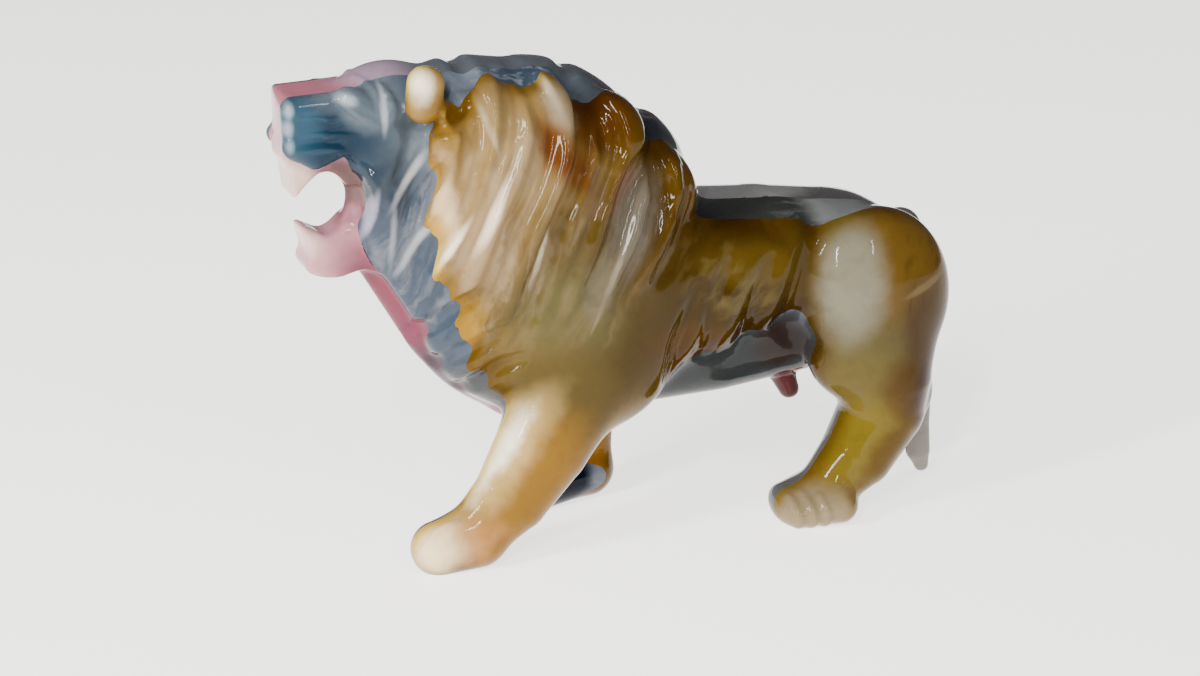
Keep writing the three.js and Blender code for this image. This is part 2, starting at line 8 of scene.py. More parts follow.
import logging
import math
from dataclasses import dataclass, field, replace
from enum import Enum
from typing import Optional, Protocol, Sequence

import bmesh
import bpy
import numpy as np
import openvdb
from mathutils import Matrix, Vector

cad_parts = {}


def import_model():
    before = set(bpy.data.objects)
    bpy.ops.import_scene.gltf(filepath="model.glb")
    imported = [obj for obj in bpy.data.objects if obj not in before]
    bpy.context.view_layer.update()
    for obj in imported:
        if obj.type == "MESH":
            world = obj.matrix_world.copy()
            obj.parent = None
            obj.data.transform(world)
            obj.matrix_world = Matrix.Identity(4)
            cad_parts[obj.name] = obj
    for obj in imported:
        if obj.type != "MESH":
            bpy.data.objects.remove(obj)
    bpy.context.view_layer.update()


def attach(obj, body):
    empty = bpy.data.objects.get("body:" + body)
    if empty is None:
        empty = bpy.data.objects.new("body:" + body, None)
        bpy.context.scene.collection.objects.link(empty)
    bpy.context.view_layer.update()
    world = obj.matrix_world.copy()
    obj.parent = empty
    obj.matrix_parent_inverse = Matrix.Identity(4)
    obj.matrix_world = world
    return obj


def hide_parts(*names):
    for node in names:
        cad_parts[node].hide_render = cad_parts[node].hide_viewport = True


LOG = logging.getLogger("onyx_lion")

# Sizes are in millimetres; MM turns them into metres, and the frame's origin is at X = MIDDLE_X.
MM = 0.001
MIDDLE_X = 3.0

# The glue joints and the block's faces, as distances from the plane between left and right.
CENTRE_SLAB_HALF = 6.5
INNER_SLAB_OUTER_FACE = 13.25
BLOCK_HALF_WIDTH = 32.0
LEFT = -1
RIGHT = 1

# Cells of the clay's lattice, and the distance that stands for air.
FINE_CELL = 0.6
FAR = 9.0

# Locks and lines fade out towards their ends as this power of half a wave.
TAPER_POWER = 0.6

# How exactly a sawn face lies in its plane: a cosine, and a distance in metres.
SAWN_COSINE = 0.9999
SAW_TOLERANCE = 1e-7

# Regions of colour narrower than FINE_CLOUD keep a crisp edge, and all go right through the stone.
FINE_CLOUD = 1.9
THROUGH_STONE = 1000.0

Point = tuple[float, float, float]
Place = tuple[float, float]
Colour = tuple[float, float, float]
Feed = bpy.types.NodeSocket | float | tuple[float, ...]


class Form(Protocol):
    """A shape that can say how far points are from its surface."""

    def reach(self) -> tuple[np.ndarray, np.ndarray]:
        """Return the lowest and highest corner of the shape."""

    def distance(self, x: np.ndarray, y: np.ndarray, z: np.ndarray) -> np.ndarray:
        """Return the distance to the surface, negative inside."""


def turn_matrix(pitch: float, yaw: float) -> np.ndarray:
    """Make the rotation from the clay's axes to a form's own axes.

    Args:
        pitch: degrees about Y, positive lifts the tail end of the form.
        yaw: degrees about Z.

    Returns:
        The 3 by 3 matrix.
    """
    lift, swing = math.radians(pitch), math.radians(yaw)
    cosine, sine = math.cos(lift), math.sin(lift)
    about_y = np.array([[cosine, 0, sine], [0, 1, 0], [-sine, 0, cosine]])
    cosine, sine = math.cos(swing), math.sin(swing)
    about_z = np.array([[cosine, sine, 0], [-sine, cosine, 0], [0, 0, 1]])
    return about_y @ about_z


@dataclass(frozen=True)
class Ellipsoid:
    """An egg of clay."""

    centre: Point
    radii: Point
    pitch: float = 0.0
    yaw: float = 0.0

    def moved(self, by: Point) -> "Ellipsoid":
        """Return the same egg at another place."""
        return replace(self, centre=tuple(here + step for here, step in zip(self.centre, by)))

    def reach(self) -> tuple[np.ndarray, np.ndarray]:
        """Return the lowest and highest corner of the shape."""
        extent = np.linalg.norm(turn_matrix(self.pitch, self.yaw) * np.array(self.radii)[:, None], axis=0)
        return np.array(self.centre) - extent, np.array(self.centre) + extent

    def distance(self, x: np.ndarray, y: np.ndarray, z: np.ndarray) -> np.ndarray:
        """Measure how far points are from the surface.

        Args:
            x: the points' X.
            y: their Y.
            z: their Z.

        Returns:
            The distances, close to true ones near the surface and negative inside.
        """
        u, v, w = turned_axes(self, x, y, z)
        a, b, c = self.radii
        near = np.sqrt((u / a) ** 2 + (v / b) ** 2 + (w / c) ** 2)
        slope = np.sqrt((u / a**2) ** 2 + (v / b**2) ** 2 + (w / c**2) ** 2) + 1e-6
        return near * (near - 1.0) / slope


@dataclass(frozen=True)
class SoftBlock:
    """A block of clay with rounded edges."""

    centre: Point
    halves: Point
    rounding: float
    pitch: float = 0.0
    yaw: float = 0.0

    def reach(self) -> tuple[np.ndarray, np.ndarray]:
        """Return the lowest and highest corner of the shape."""
        extent = np.abs(turn_matrix(self.pitch, self.yaw).T) @ np.array(self.halves)
        return np.array(self.centre) - extent, np.array(self.centre) + extent

    def distance(self, x: np.ndarray, y: np.ndarray, z: np.ndarray) -> np.ndarray:
        """Measure how far points are from the surface.

        Args:
            x: the points' X.
            y: their Y.
            z: their Z.

        Returns:
            The distances, negative inside.
        """
        local = turned_axes(self, x, y, z)
        u, v, w = (np.abs(t) - half + self.rounding for t, half in zip(local, self.halves))
        outside = np.sqrt(np.maximum(u, 0) ** 2 + np.maximum(v, 0) ** 2 + np.maximum(w, 0) ** 2)
        return outside + np.minimum(np.maximum(np.maximum(u, v), w), 0) - self.rounding


def turned_axes(form: Ellipsoid | SoftBlock, x: np.ndarray, y: np.ndarray, z: np.ndarray) -> list[np.ndarray]:
    """Find points' coordinates in a form's own axes.

    Args:
        form: the form.
        x: the points' X.
        y: their Y.
        z: their Z.

    Returns:
        The three coordinates, measured from the form's centre.
    """
    turn = turn_matrix(form.pitch, form.yaw)
    x, y, z = x - form.centre[0], y - form.centre[1], z - form.centre[2]
    return [row[0] * x + row[1] * y + row[2] * z for row in turn]


@dataclass(frozen=True)
class Limb:
    """A chain of round cones through points, with its own width in Y."""

    points: tuple[Point, ...]
    radii: tuple[float, ...]
    flatness: float = 1.0

    def reach(self) -> tuple[np.ndarray, np.ndarray]:
        """Return the lowest and highest corner of the shape."""
        points, size = np.array(self.points), max(self.radii) * max(1.0, self.flatness)
        return points.min(axis=0) - size, points.max(axis=0) + size

    def distance(self, x: np.ndarray, y: np.ndarray, z: np.ndarray) -> np.ndarray:
        """Measure how far points are from the surface.

        Args:
            x: the points' X.
            y: their Y.
            z: their Z.

        Returns:
            The distances, negative inside.
        """
        nodes = np.array(self.points, dtype=float)
        nodes[:, 1] /= self.flatness
        y = y / self.flatness
        best: Optional[np.ndarray] = None
        for a, b, start, stop in zip(nodes[:-1], nodes[1:], self.radii[:-1], self.radii[1:]):
            along = b - a
            u, v, w = x - a[0], y - a[1], z - a[2]
            t = np.clip((u * along[0] + v * along[1] + w * along[2]) / (along @ along), 0, 1)
            gap = np.sqrt((u - t * along[0]) ** 2 + (v - t * along[1]) ** 2 + (w - t * along[2]) ** 2)
            gap -= start + t * (stop - start)
            best = gap if best is None else np.minimum(best, gap)
        return best * min(1.0, self.flatness)


@dataclass(frozen=True)
class Plate:
    """A flat shape drawn in the side view, with a half thickness in Y and rounded edges."""

    outline: tuple[Place, ...]
    half_thickness: float
    rounding: float
    smooth: bool = True

    def corners(self) -> np.ndarray:
        """Find the corners of the outline.

        Returns:
            X and Z of each corner, on a smooth curve through the drawn points if asked for.
        """
        if not self.smooth:
            return np.array(self.outline, dtype=float)
        return smooth_curve(self.outline, closed=True)

    def reach(self) -> tuple[np.ndarray, np.ndarray]:
        """Find the lowest and highest corner of the shape.

        Returns:
            The two corners.
        """
        corners, half = self.corners(), self.half_thickness
        low, high = corners.min(axis=0), corners.max(axis=0)
        return np.array([low[0], -half, low[1]]), np.array([high[0], half, high[1]])

    def distance(self, x: np.ndarray, y: np.ndarray, z: np.ndarray) -> np.ndarray:
        """Measure how far the points of a lattice are from the surface.

        Args:
            x: the lattice's X.
            y: its Y.
            z: its Z.

        Returns:
            The distances, negative inside.
        """
        flat = self.outline_distance(x[:, 0, 0][:, None], z[0, 0, :][None, :])[:, None, :] + self.rounding
        across = np.abs(y) - self.half_thickness + self.rounding
        outside = np.sqrt(np.maximum(flat, 0) ** 2 + np.maximum(across, 0) ** 2)
        return outside + np.minimum(np.maximum(flat, across), 0) - self.rounding

    def outline_distance(self, x: np.ndarray, z: np.ndarray) -> np.ndarray:
        """Measure how far points of the side view are from the outline.

        Args:
            x: the points' X.
            z: their Z.

        Returns:
            The distances, negative inside.
        """
        corners = self.corners()
        nearest = np.full(np.broadcast(x, z).shape, np.inf)
        inside = np.zeros(nearest.shape, dtype=bool)
        for a, b in zip(np.roll(corners, 1, axis=0), corners):
            along = b - a
            t = np.clip(((x - a[0]) * along[0] + (z - a[1]) * along[1]) / (along @ along), 0, 1)
            nearest = np.minimum(nearest, np.hypot(x - a[0] - along[0] * t, z - a[1] - along[1] * t))
            if a[1] != b[1]:
                crosses = (a[1] > z) != (b[1] > z)
                inside ^= crosses & (x < a[0] + along[0] * (z - a[1]) / along[1])
        return np.where(inside, -nearest, nearest)


@dataclass(frozen=True)
class Mirrored:
    """A form seen in the plane between left and right."""

    form: Form

    def reach(self) -> tuple[np.ndarray, np.ndarray]:
        """Return the lowest and highest corner of the shape."""
        low, high = self.form.reach()
        return np.array([low[0], -high[1], low[2]]), np.array([high[0], -low[1], high[2]])

    def distance(self, x: np.ndarray, y: np.ndarray, z: np.ndarray) -> np.ndarray:
        """Return the distance to the surface, negative inside."""
        return self.form.distance(x, -y, z)


@dataclass(frozen=True)
class Gouge:
    """A round tool that presses grooves."""

    radius: float
    depth: float
    blend: float = 1.5


def smooth_curve(points: Sequence[Sequence[float]], steps: int = 4, closed: bool = False) -> np.ndarray:
    """Run a Catmull-Rom curve through points.

    Args:
        points: the points, in two or three dimensions.
        steps: how many stretches each span is divided into.
        closed: whether the curve returns to its start.

    Returns:
        The points of the curve, one per row.
    """
    given = np.array(points, dtype=float)
    before, after = (given[-1:], given[:2]) if closed else (given[:1], given[-1:])
    padded = np.vstack([before, given, after])
    rows = []
    for p0, p1, p2, p3 in zip(padded[:-3], padded[1:-2], padded[2:-1], padded[3:]):
        for t in np.arange(steps) / steps:
            cubic = 2 * p0 - 5 * p1 + 4 * p2 - p3, 3 * p1 - p0 - 3 * p2 + p3
            rows.append(0.5 * (2 * p1 + (p2 - p0) * t + cubic[0] * t**2 + cubic[1] * t**3))
    if not closed:
        rows.append(given[-1])
    return np.array(rows)


def soft_min(a: np.ndarray, b: np.ndarray, blend: float) -> np.ndarray:
    """Join two shapes, given by their distances, with a rounded inner corner.

    Args:
        a: the distances to the first shape.
        b: the distances to the second one.
        blend: how far from each other the two still melt together.

    Returns:
        The distances to both as one shape.
    """
    if blend <= 0:
        return np.minimum(a, b)
    near = np.maximum(blend - np.abs(a - b), 0) / blend
    return np.minimum(a, b) - near**3 * (blend / 6)


class Clay:
    """A lattice of distances that forms are added to and cut out of.

    LOW and HIGH are the lattice's corners. A form is laid down within its reach and MARGIN beyond the
    blend, the crest lies above LOWEST_CREST, and a ridge thins out to the share RIDGE_END of its radius.
    """

    LOW = np.array([-82.0, -29.0, -4.0])
    HIGH = np.array([88.0, 29.0, 117.0])
    LEAST_BLEND = 2.0
    MARGIN = 2.5
    LOWEST_CREST = 60.0
    RIDGE_END = 0.35

    def __init__(self, cell: float) -> None:
        """Start with nothing but air.

        Args:
            cell: the size of a cell of the lattice.
        """
        self.cell = cell
        self.axes = [np.arange(low, high, cell, dtype=np.float32) for low, high in zip(self.LOW, self.HIGH)]
        self.values = np.full([len(axis) for axis in self.axes], FAR, dtype=np.float32)

    def work(self, form: Form, blend: float, cut: bool) -> None:
        """Add a form to the clay, or cut it out, within the form's own reach.

        Args:
            form: the form.
            blend: how soft the join or edge is.
            cut: whether the form is cut out.
        """
        margin = max(blend, self.LEAST_BLEND) + self.MARGIN
        low, high = form.reach()
        window = tuple(
            slice(int(np.searchsorted(axis, low[i] - margin)), int(np.searchsorted(axis, high[i] + margin)))
            for i, axis in enumerate(self.axes)
        )
        x, y, z = (axis[part] for axis, part in zip(self.axes, window))
        distance = form.distance(x[:, None, None], y[None, :, None], z[None, None, :]).astype(np.float32)
        here = self.values[window]
        self.values[window] = -soft_min(-here, distance, blend) if cut else soft_min(here, distance, blend)

    def add(self, form: Form, blend: float = 3.0) -> None:
        """Add a form with a soft join."""
        self.work(form, blend, cut=False)

    def cut(self, form: Form, blend: float = 1.0) -> None:
        """Cut a form out with a soft edge."""
        self.work(form, blend, cut=True)

    def add_pair(self, form: Form, blend: float = 3.0) -> None:
        """Add a form on the right side and its mirror image on the left."""
        self.add(form, blend)
        self.add(Mirrored(form), blend)

    def cut_pair(self, form: Form, blend: float = 1.0) -> None:
        """Cut a form on the right side and its mirror image on the left."""
        self.cut(form, blend)
        self.cut(Mirrored(form), blend)

    def sample(self, points: np.ndarray) -> np.ndarray:
        """Read the distances at points between the lattice's own.

        Args:
            points: the points, one per row.

        Returns:
            The distance at each.
        """
        last_cell = np.array(self.values.shape) - 1.001
        spot = np.clip((points - self.LOW) / self.cell, 0, last_cell)
        base = np.floor(spot).astype(int)
        part = spot - base
        total = np.zeros(len(points))
        for corner in np.ndindex(2, 2, 2):
            weight = np.prod(np.where(corner, part, 1 - part), axis=1)
            i, j, k = (base + corner).T
            total += weight * self.values[i, j, k]
        return total

    def normals(self, points: np.ndarray) -> np.ndarray:
        """Find the outward directions at points near the surface.

        Args:
            points: the points, one per row.

        Returns:
            The unit directions, one per row.
        """
        step = 1.2 * self.cell
        slopes = [self.sample(points + step * side) - self.sample(points - step * side) for side in np.eye(3)]
        slope = np.stack(slopes, axis=1)
        return slope / (np.linalg.norm(slope, axis=1, keepdims=True) + 1e-9)

    def on_flank(self, places: np.ndarray, side: int) -> np.ndarray:
        """Find the outermost points of one flank above places of the side view.

        Args:
            places: X and Z of each place.
            side: LEFT or RIGHT.

        Returns:
            The points, or the middle plane where the side view shows no clay.
        """
        steps = np.arange(self.HIGH[1], 0, -0.5 * self.cell)
        points = np.zeros((len(places), len(steps), 3))
        points[..., 0] = places[:, :1]
        points[..., 1] = side * steps
        points[..., 2] = places[:, 1:]
        inside = self.sample(points.reshape(-1, 3)).reshape(len(places), -1) < 0
        first = np.where(inside.any(axis=1), inside.argmax(axis=1), len(steps) - 1)
        return points[np.arange(len(places)), first]

    def on_top(self, places: np.ndarray) -> np.ndarray:
        """Find the highest points of the crest above places of the ground plan.

        Args:
            places: X and Y of each place.

        Returns:
            The points.
        """
        heights = np.arange(self.HIGH[2] - 1, self.LOWEST_CREST, -0.5 * self.cell)
        points = np.zeros((len(places), len(heights), 3))
        points[..., :2] = places[:, None, :]
        points[..., 2] = heights
        inside = self.sample(points.reshape(-1, 3)).reshape(len(places), -1) < 0
        return points[np.arange(len(places)), inside.argmax(axis=1)]

    def groove(self, places: Sequence[Place], side: int, gouge: Gouge) -> None:
        """Press a groove that fades out at both ends into one flank.

        Args:
            places: X and Z of points along the groove.
            side: LEFT or RIGHT.
            gouge: the tool.
        """
        path, fading = self.path_on_flank(places, side)
        lift = gouge.radius - gouge.depth * fading
        self.cut(Limb(self.lifted(path, lift), (gouge.radius,) * len(path)), gouge.blend)

    def ridge(
        self, places: Sequence[Place], side: int, radius: float, height: float, blend: float = 2.5,
    ) -> None:
        """Lay a ridge that tapers and sinks at both ends on one flank.

        Args:
            places: X and Z of points along the ridge.
            side: LEFT or RIGHT.
            radius: the ridge's largest radius.
            height: how far it stands out.
            blend: how soft its feet are.
        """
        path, fading = self.path_on_flank(places, side)
        radii = radius * (self.RIDGE_END + (1 - self.RIDGE_END) * fading)
        self.add(Limb(self.lifted(path, height * fading - radii), tuple(radii)), blend)

    def path_on_flank(self, places: Sequence[Place], side: int) -> tuple[np.ndarray, np.ndarray]:
        """Throw a drawn curve on to one flank.

        Args:
            places: X and Z of points along the curve.
            side: LEFT or RIGHT.

        Returns:
            The points on the flank, and weights that fall towards nothing at the curve's ends.
        """
        path = self.on_flank(smooth_curve(places), side)
        spot = (np.arange(len(path)) + 0.5) / len(path)
        return path, np.sin(np.pi * spot) ** TAPER_POWER

    def lifted(self, path: np.ndarray, lift: np.ndarray) -> tuple[Point, ...]:
        """Return a path moved off the clay by the given heights."""
        return tuple(map(tuple, path + self.normals(path) * lift[:, None]))

    def skin(self) -> tuple[np.ndarray, np.ndarray]:
        """Draw the skin over the clay.

        Returns:
            The skin's points, and the four corners of each of its faces.
        """
        grid = openvdb.FloatGrid()
        grid.background = FAR
        grid.copyFromArray(self.values)
        points, quads = grid.convertToQuads(0.0)
        return points * self.cell + self.LOW, quads[:, ::-1]


@dataclass(frozen=True)
class Stroke:
    """A line drawn in the side view, on one flank or on both."""

    places: tuple[Place, ...]
    sides: tuple[int, ...] = (LEFT, RIGHT)


@dataclass
class Trunk:
    """Chest, barrel, belly and back."""

    back: SoftBlock = SoftBlock((26, 0, 60.2), (43, 18.6, 13.6), 13.5, pitch=-5)
    barrel: Limb = Limb(((-2, 0, 54), (16, 0, 56), (34, 0, 58.5), (50, 0, 58)), (20, 19, 16.3, 14.5), 1.05)
    belly: Limb = Limb(((-4, 0, 43.5), (24, 0, 44), (44, 0, 45.5)), (16, 15.4, 14.5), 0.72)
    breast: Limb = Limb(((-46.6, 6, 73), (-34.6, 6, 55.5), (-19.6, 6, 41)), (10.8, 12, 12), 0.6)
    keel: Limb = Limb(((-46.6, 0, 73), (-34.6, 0, 55.5), (-19.6, 0, 41)), (14, 15.5, 14.5), 0.46)

    def model(self, clay: Clay) -> None:
        """Add the trunk to the clay.

        Args:
            clay: the clay.
        """
        clay.add(self.back, blend=0)
        clay.add(self.barrel, blend=5)
        clay.add(self.belly, blend=5)
        clay.add_pair(self.breast, blend=4)
        clay.add(self.keel, blend=1.5)


@dataclass
class Mane:
    """The mass of hair over neck and shoulders."""

    half_width: float = 23.8
    crest: Ellipsoid = Ellipsoid((-22, 0, 78.2), (30.5, half_width, 30))
    shoulders: Ellipsoid = Ellipsoid((-10, 0, 70), (28, half_width - 0.4, 28.5))
    withers: Ellipsoid = Ellipsoid((1, 0, 82), (13, 18, 14))
    ruff: Ellipsoid = Ellipsoid((-19, 0, 57), (25, 22.5, 24), pitch=-20)
    bib: Ellipsoid = Ellipsoid((-27, 0, 49), (16, 19, 15))
    nape: Ellipsoid = Ellipsoid((-35.5, 0, 91.5), (16, 17.5, 17.5))
    front_tuft: Ellipsoid = Ellipsoid((-27, 12, 93), (13.5, 9, 12.5))
    rear_tuft: Ellipsoid = Ellipsoid((-8, 11, 87), (10, 8, 12), pitch=30)
    ear_tuft: Ellipsoid = Ellipsoid((-41.5, 13.5, 95.8), (5, 6, 7.5))
    elbow_tuft: Ellipsoid = Ellipsoid((-9, 12, 46), (19, 10.8, 19))
    crest_lobes: tuple[Ellipsoid, ...] = (
        Ellipsoid((-32, 12.5, 97), (6.4, 7, 10.6), pitch=4),
        Ellipsoid((-20, 12.5, 96.4), (6.6, 7.5, 11), pitch=14),
        Ellipsoid((-4.5, 12, 91.5), (7, 7.5, 10.6), pitch=24),
        Ellipsoid((7, 11, 80.5), (6.6, 7.5, 9.5), pitch=30),
    )
    right_lobe_shift: Point = (1, -2, -3.4)

    def model(self, clay: Clay) -> None:
        """Add the mane and the shoulders to the clay.

        Args:
            clay: the clay.
        """
        clay.add(self.crest, blend=4)
        clay.add(self.shoulders, blend=5)
        clay.add(self.withers, blend=5)
        for mass in (self.ruff, self.bib, self.nape):
            clay.add(mass, blend=6)
        clay.add_pair(self.front_tuft, blend=5)
        clay.add_pair(self.rear_tuft, blend=5)
        clay.add_pair(self.ear_tuft, blend=2)
        clay.add_pair(self.elbow_tuft, blend=6)
        for lobe in self.crest_lobes:
            clay.add(Mirrored(lobe), blend=2)
            clay.add(lobe.moved(self.right_lobe_shift), blend=2)


@dataclass
class Legs:
    """Four legs: the left ones reach forward, the right ones stand back."""

    fore: float = 14.0
    hip: float = 13.2
    thigh_half_width: float = 10.8
    left_foreleg: Limb = Limb(
        ((-12, -13, 42), (-21.5, -14.4, 26), (-29, -14.8, 15), (-37, -fore, 7)),
        (12.5, 10.6, 8.7, 6.8), 0.82,
    )
    left_forepaw: Limb = Limb(((-37, -fore, 6.4), (-45.6, -fore, 4.6)), (6.8, 6), 1.08)
    right_foreleg: Limb = Limb(
        ((-6, fore, 42), (-3, 18.5, 26), (-1.8, 19, 14), (-1, 19, 6)), (13, 10, 8.2, 7.2), 0.6
    )
    right_forepaw: Limb = Limb(((0.5, 19, 5.4), (-12.5, 15.8, 4.6)), (5.6, 6), 1.15)
    left_thigh: Ellipsoid = Ellipsoid((57.6, -hip, 51), (17.8, thigh_half_width, 20.4), pitch=4)
    right_thigh: Ellipsoid = Ellipsoid((59, hip - 1, 46.5), (17, thigh_half_width - 0.3, 19), pitch=4)
    left_knee: Ellipsoid = Ellipsoid((57, -hip, 38), (15, thigh_half_width, 12))
    left_hind_leg: Limb = Limb(
        ((60, -hip, 31), (60.4, -hip, 24), (54.6, -hip, 14), (46, -13.4, 5.8)),
        (11, 9.6, 8.4, 6), 1.06,
    )
    left_hock: Ellipsoid = Ellipsoid((68.2, -hip, 27), (4.4, 4, 6))
    left_hind_paw: Limb = Limb(((47, -13.5, 4.6), (38.4, -13.6, 3.2)), (5.8, 4.6), 2.0)
    right_hind_leg: Limb = Limb(
        ((62, hip, 42), (69, hip + 0.8, 30), (71.5, hip + 1.4, 22), (70.5, hip + 1.8, 8)),
        (13, 10, 8, 7), 0.84,
    )
    right_hind_paw: Limb = Limb(((72, hip + 1.8, 6), (65.6, hip + 1.8, 4.4)), (6.6, 5.6), 1.2)
    fore_toe: tuple[Place, ...] = ((-40.9, 11.6), (-45.7, 10.2), (-48.9, 7.8), (-50.4, 5.4), (-50.8, 2.5))
    toe_groups: tuple[tuple[float, int], ...] = ((36.2, LEFT), (39.2, LEFT), (-12.6, RIGHT), (66.4, RIGHT))
    toe_gaps: tuple[float, ...] = (-2.9, 0.0, 3.2)
    toe_line: tuple[Place, ...] = ((-0.7, 8.2), (0, 5), (0.5, 2.4), (0.7, -0.8))

    def model(self, clay: Clay) -> None:
        """Add the legs to the clay.

        Args:
            clay: the clay.
        """
        clay.add(self.left_foreleg, blend=5)
        clay.add(self.left_forepaw, blend=3)
        clay.add(self.right_foreleg, blend=4)
        clay.add(self.right_forepaw, blend=3)
        for part in (self.left_thigh, self.right_thigh, self.left_knee, self.left_hind_leg, self.left_hock):
            clay.add(part, blend=4)
        clay.add(self.left_hind_paw, blend=3)
        clay.add(self.right_hind_leg, blend=4)
        clay.add(self.right_hind_paw, blend=3)

    def toes(self) -> list[Stroke]:
        """Draw the lines between the toes.

        Returns:
            The strokes, each on its own flank.
        """
        strokes = [Stroke(self.fore_toe, (LEFT,))]
        for middle, side in self.toe_groups:
            for gap in self.toe_gaps:
                places = tuple((middle + gap + lean, height) for lean, height in self.toe_line)
                strokes.append(Stroke(places, (side,)))
        return strokes


@dataclass
class Head:
    """Skull, muzzle, eyes, ears and the open mouth."""

    skull: Ellipsoid = Ellipsoid((-50.5, 0, 96.6), (14, 12.4, 12.4))
    muzzle: SoftBlock = SoftBlock((-63.9, 0, 98), (10.8, 10, 6.6), 2.6, pitch=3)
    throat: Ellipsoid = Ellipsoid((-52, 0, 84), (10, 12.6, 15))
    nose_front: SoftBlock = SoftBlock((-79.4, 0.7, 100), (5, 16, 12), 0.5, yaw=-8.3)
    lip: Limb = Limb(((-72.6, 7.6, 93.8), (-68, 7.6, 91.2), (-63.4, 7.6, 92.8)), (2.2, 2.4, 2))

    eye: Ellipsoid = Ellipsoid((-58.6, 8.8, 101.4), (6, 3, 3.3), pitch=-38)
    right_eye_drop: float = 2.6
    crescent: tuple[Place, ...] = ((-55, 106), (-53.3, 103.9), (-52.6, 101.4), (-52.8, 99.4), (-54, 97))
    crescent_radius: float = 1.5
    crescent_height: float = 1.1
    nostrils: tuple[Place, ...] = ((-73.2, 102), (-73.3, 98.9), (-73.2, 95.2))
    nostril_radii: Point = (1.2, 1.3, 1.5)
    nostril_offset: float = 8.7
    right_nostril_setback: float = 3.12
    ear_halves: Point = (3.9, 3.8, 5.9)
    left_ear: SoftBlock = SoftBlock((-46.4, -14.2, 104.2), ear_halves, 3.6, pitch=-6)
    right_ear: SoftBlock = SoftBlock((-45.5, 13.5, 99.4), ear_halves, 3.6, pitch=-6)

    mouth_centre: Place = (-65.4, 81.8)
    mouth_step: float = 11
    mouth_radii: Place = (8, 9.8)
    mouth_flare: float = 14
    jaw_half_width: float = 5.9
    fang_and_lip: Plate = Plate(
        (
            (-73.8, 97), (-74.4, 91), (-73.2, 88.6), (-72.8, 85), (-72.4, 81.2), (-69.6, 81.2),
            (-66, 85), (-58, 84), (-58, 97),
        ),
        jaw_half_width, 1, smooth=False,
    )
    lower_jaw: Plate = Plate(
        (
            (-70.8, 76.6), (-66, 75.2), (-54, 78), (-50, 72), (-52, 65), (-58, 65.8),
            (-63.5, 64.6), (-68.6, 65.6), (-70.4, 67.8), (-69.6, 71),
        ),
        jaw_half_width, 1.5,
    )
    mouth_opening: Plate = Plate(
        (
            (-84, 82.4), (-74, 82.2), (-72.2, 82.6), (-70.6, 84.2), (-67.6, 87), (-65.2, 87.7), (-62.6, 86.4),
            (-60.8, 83.4), (-60.4, 80), (-61.2, 77), (-63, 74.8), (-65.4, 73.9), (-68, 75), (-70.2, 76),
            (-72.5, 75.8), (-84, 75.8),
        ),
        CENTRE_SLAB_HALF + 0.5, 0.3,
    )
    mouth_floor: Limb = Limb(
        ((-76, 7.4, 78), (-71.5, 7.4, 77.6), (-68, 7.4, 76.6), (-65.4, 7.4, 75.4), (-62, 7.4, 76.4)),
        (3.4, 3.4, 3, 2.6, 2.2),
    )

    eye_edge: tuple[Place, ...] = ((-64.4, 105), (-62.4, 102.5), (-59.7, 100.3), (-56.4, 98.3), (-53.8, 97.2))
    eye_arc: tuple[Place, ...] = ((-60, 106.8), (-57, 106.2), (-55.6, 104.4), (-54.9, 101.6), (-54.8, 98))
    lip_crease: tuple[Place, ...] = (
        (-74, 92.7), (-70.9, 93.3), (-67.3, 93.6), (-63.7, 93),
        (-60.2, 91), (-57.4, 87.6), (-56, 83.8), (-56, 79.5),
    )
    mouth_corner: tuple[Place, ...] = ((-58.4, 88), (-56.8, 84.6), (-56, 81), (-56.4, 77.6), (-58.6, 74.4))
    whiskers: tuple[tuple[Place, ...], ...] = (
        ((-72.8, 100.9), (-70.6, 100), (-65.3, 99.6), (-60.8, 98.9), (-56.3, 97.9)),
        ((-71.2, 96.5), (-65.4, 96.4), (-57.8, 95.3)),
    )

    def model(self, clay: Clay) -> None:
        """Add the head to the clay and cut the mouth.

        Args:
            clay: the clay.
        """
        clay.add(self.skull, blend=4)
        clay.add(self.muzzle, blend=3)
        clay.add(self.throat, blend=5)
        clay.cut(self.nose_front, blend=1.2)
        self.cut_mouth(clay)
        clay.add_pair(self.lip, blend=1.2)
        self.model_face(clay, LEFT, 0.0, 0.0)
        self.model_face(clay, RIGHT, self.right_eye_drop, self.right_nostril_setback)

    def cut_mouth(self, clay: Clay) -> None:
        """Cut the mouth through, and leave lips, fangs and lower jaw in the centre slab.

        Args:
            clay: the clay.
        """
        x, z = self.mouth_centre
        for place in (x, x - self.mouth_step):
            ends = ((place, CENTRE_SLAB_HALF, z), (place, self.mouth_flare, z))
            clay.cut_pair(Limb(ends, self.mouth_radii), blend=0.8)
        clay.add(self.fang_and_lip, blend=1.2)
        clay.add(self.lower_jaw, blend=2.5)
        clay.cut(self.mouth_opening, blend=0.8)
        clay.cut_pair(self.mouth_floor, blend=2)

    def model_face(self, clay: Clay, side: int, drop: float, setback: float) -> None:
        """Model the eye, the crescent of the cheek and the beads of the nostril of one side.

        Args:
            clay: the clay.
            side: LEFT or RIGHT.
            drop: how much lower than drawn the eye sits.
            setback: how far behind their drawn places the beads sit.
        """
        eye = self.eye.moved((0, 0, -drop))
        clay.add(Mirrored(eye) if side == LEFT else eye, blend=1.4)
        clay.ridge(self.crescent, side, self.crescent_radius, self.crescent_height, blend=0.8)
        for x, z in self.nostrils:
            place = (x + setback, side * self.nostril_offset, z)
            clay.add(Ellipsoid(place, self.nostril_radii), blend=0.8)

    def model_ears(self, clay: Clay) -> None:
        """Add the ears on top of the combed mane; the right one stands lower."""
        clay.add(self.left_ear, blend=0.7)
        clay.add(self.right_ear, blend=0.7)

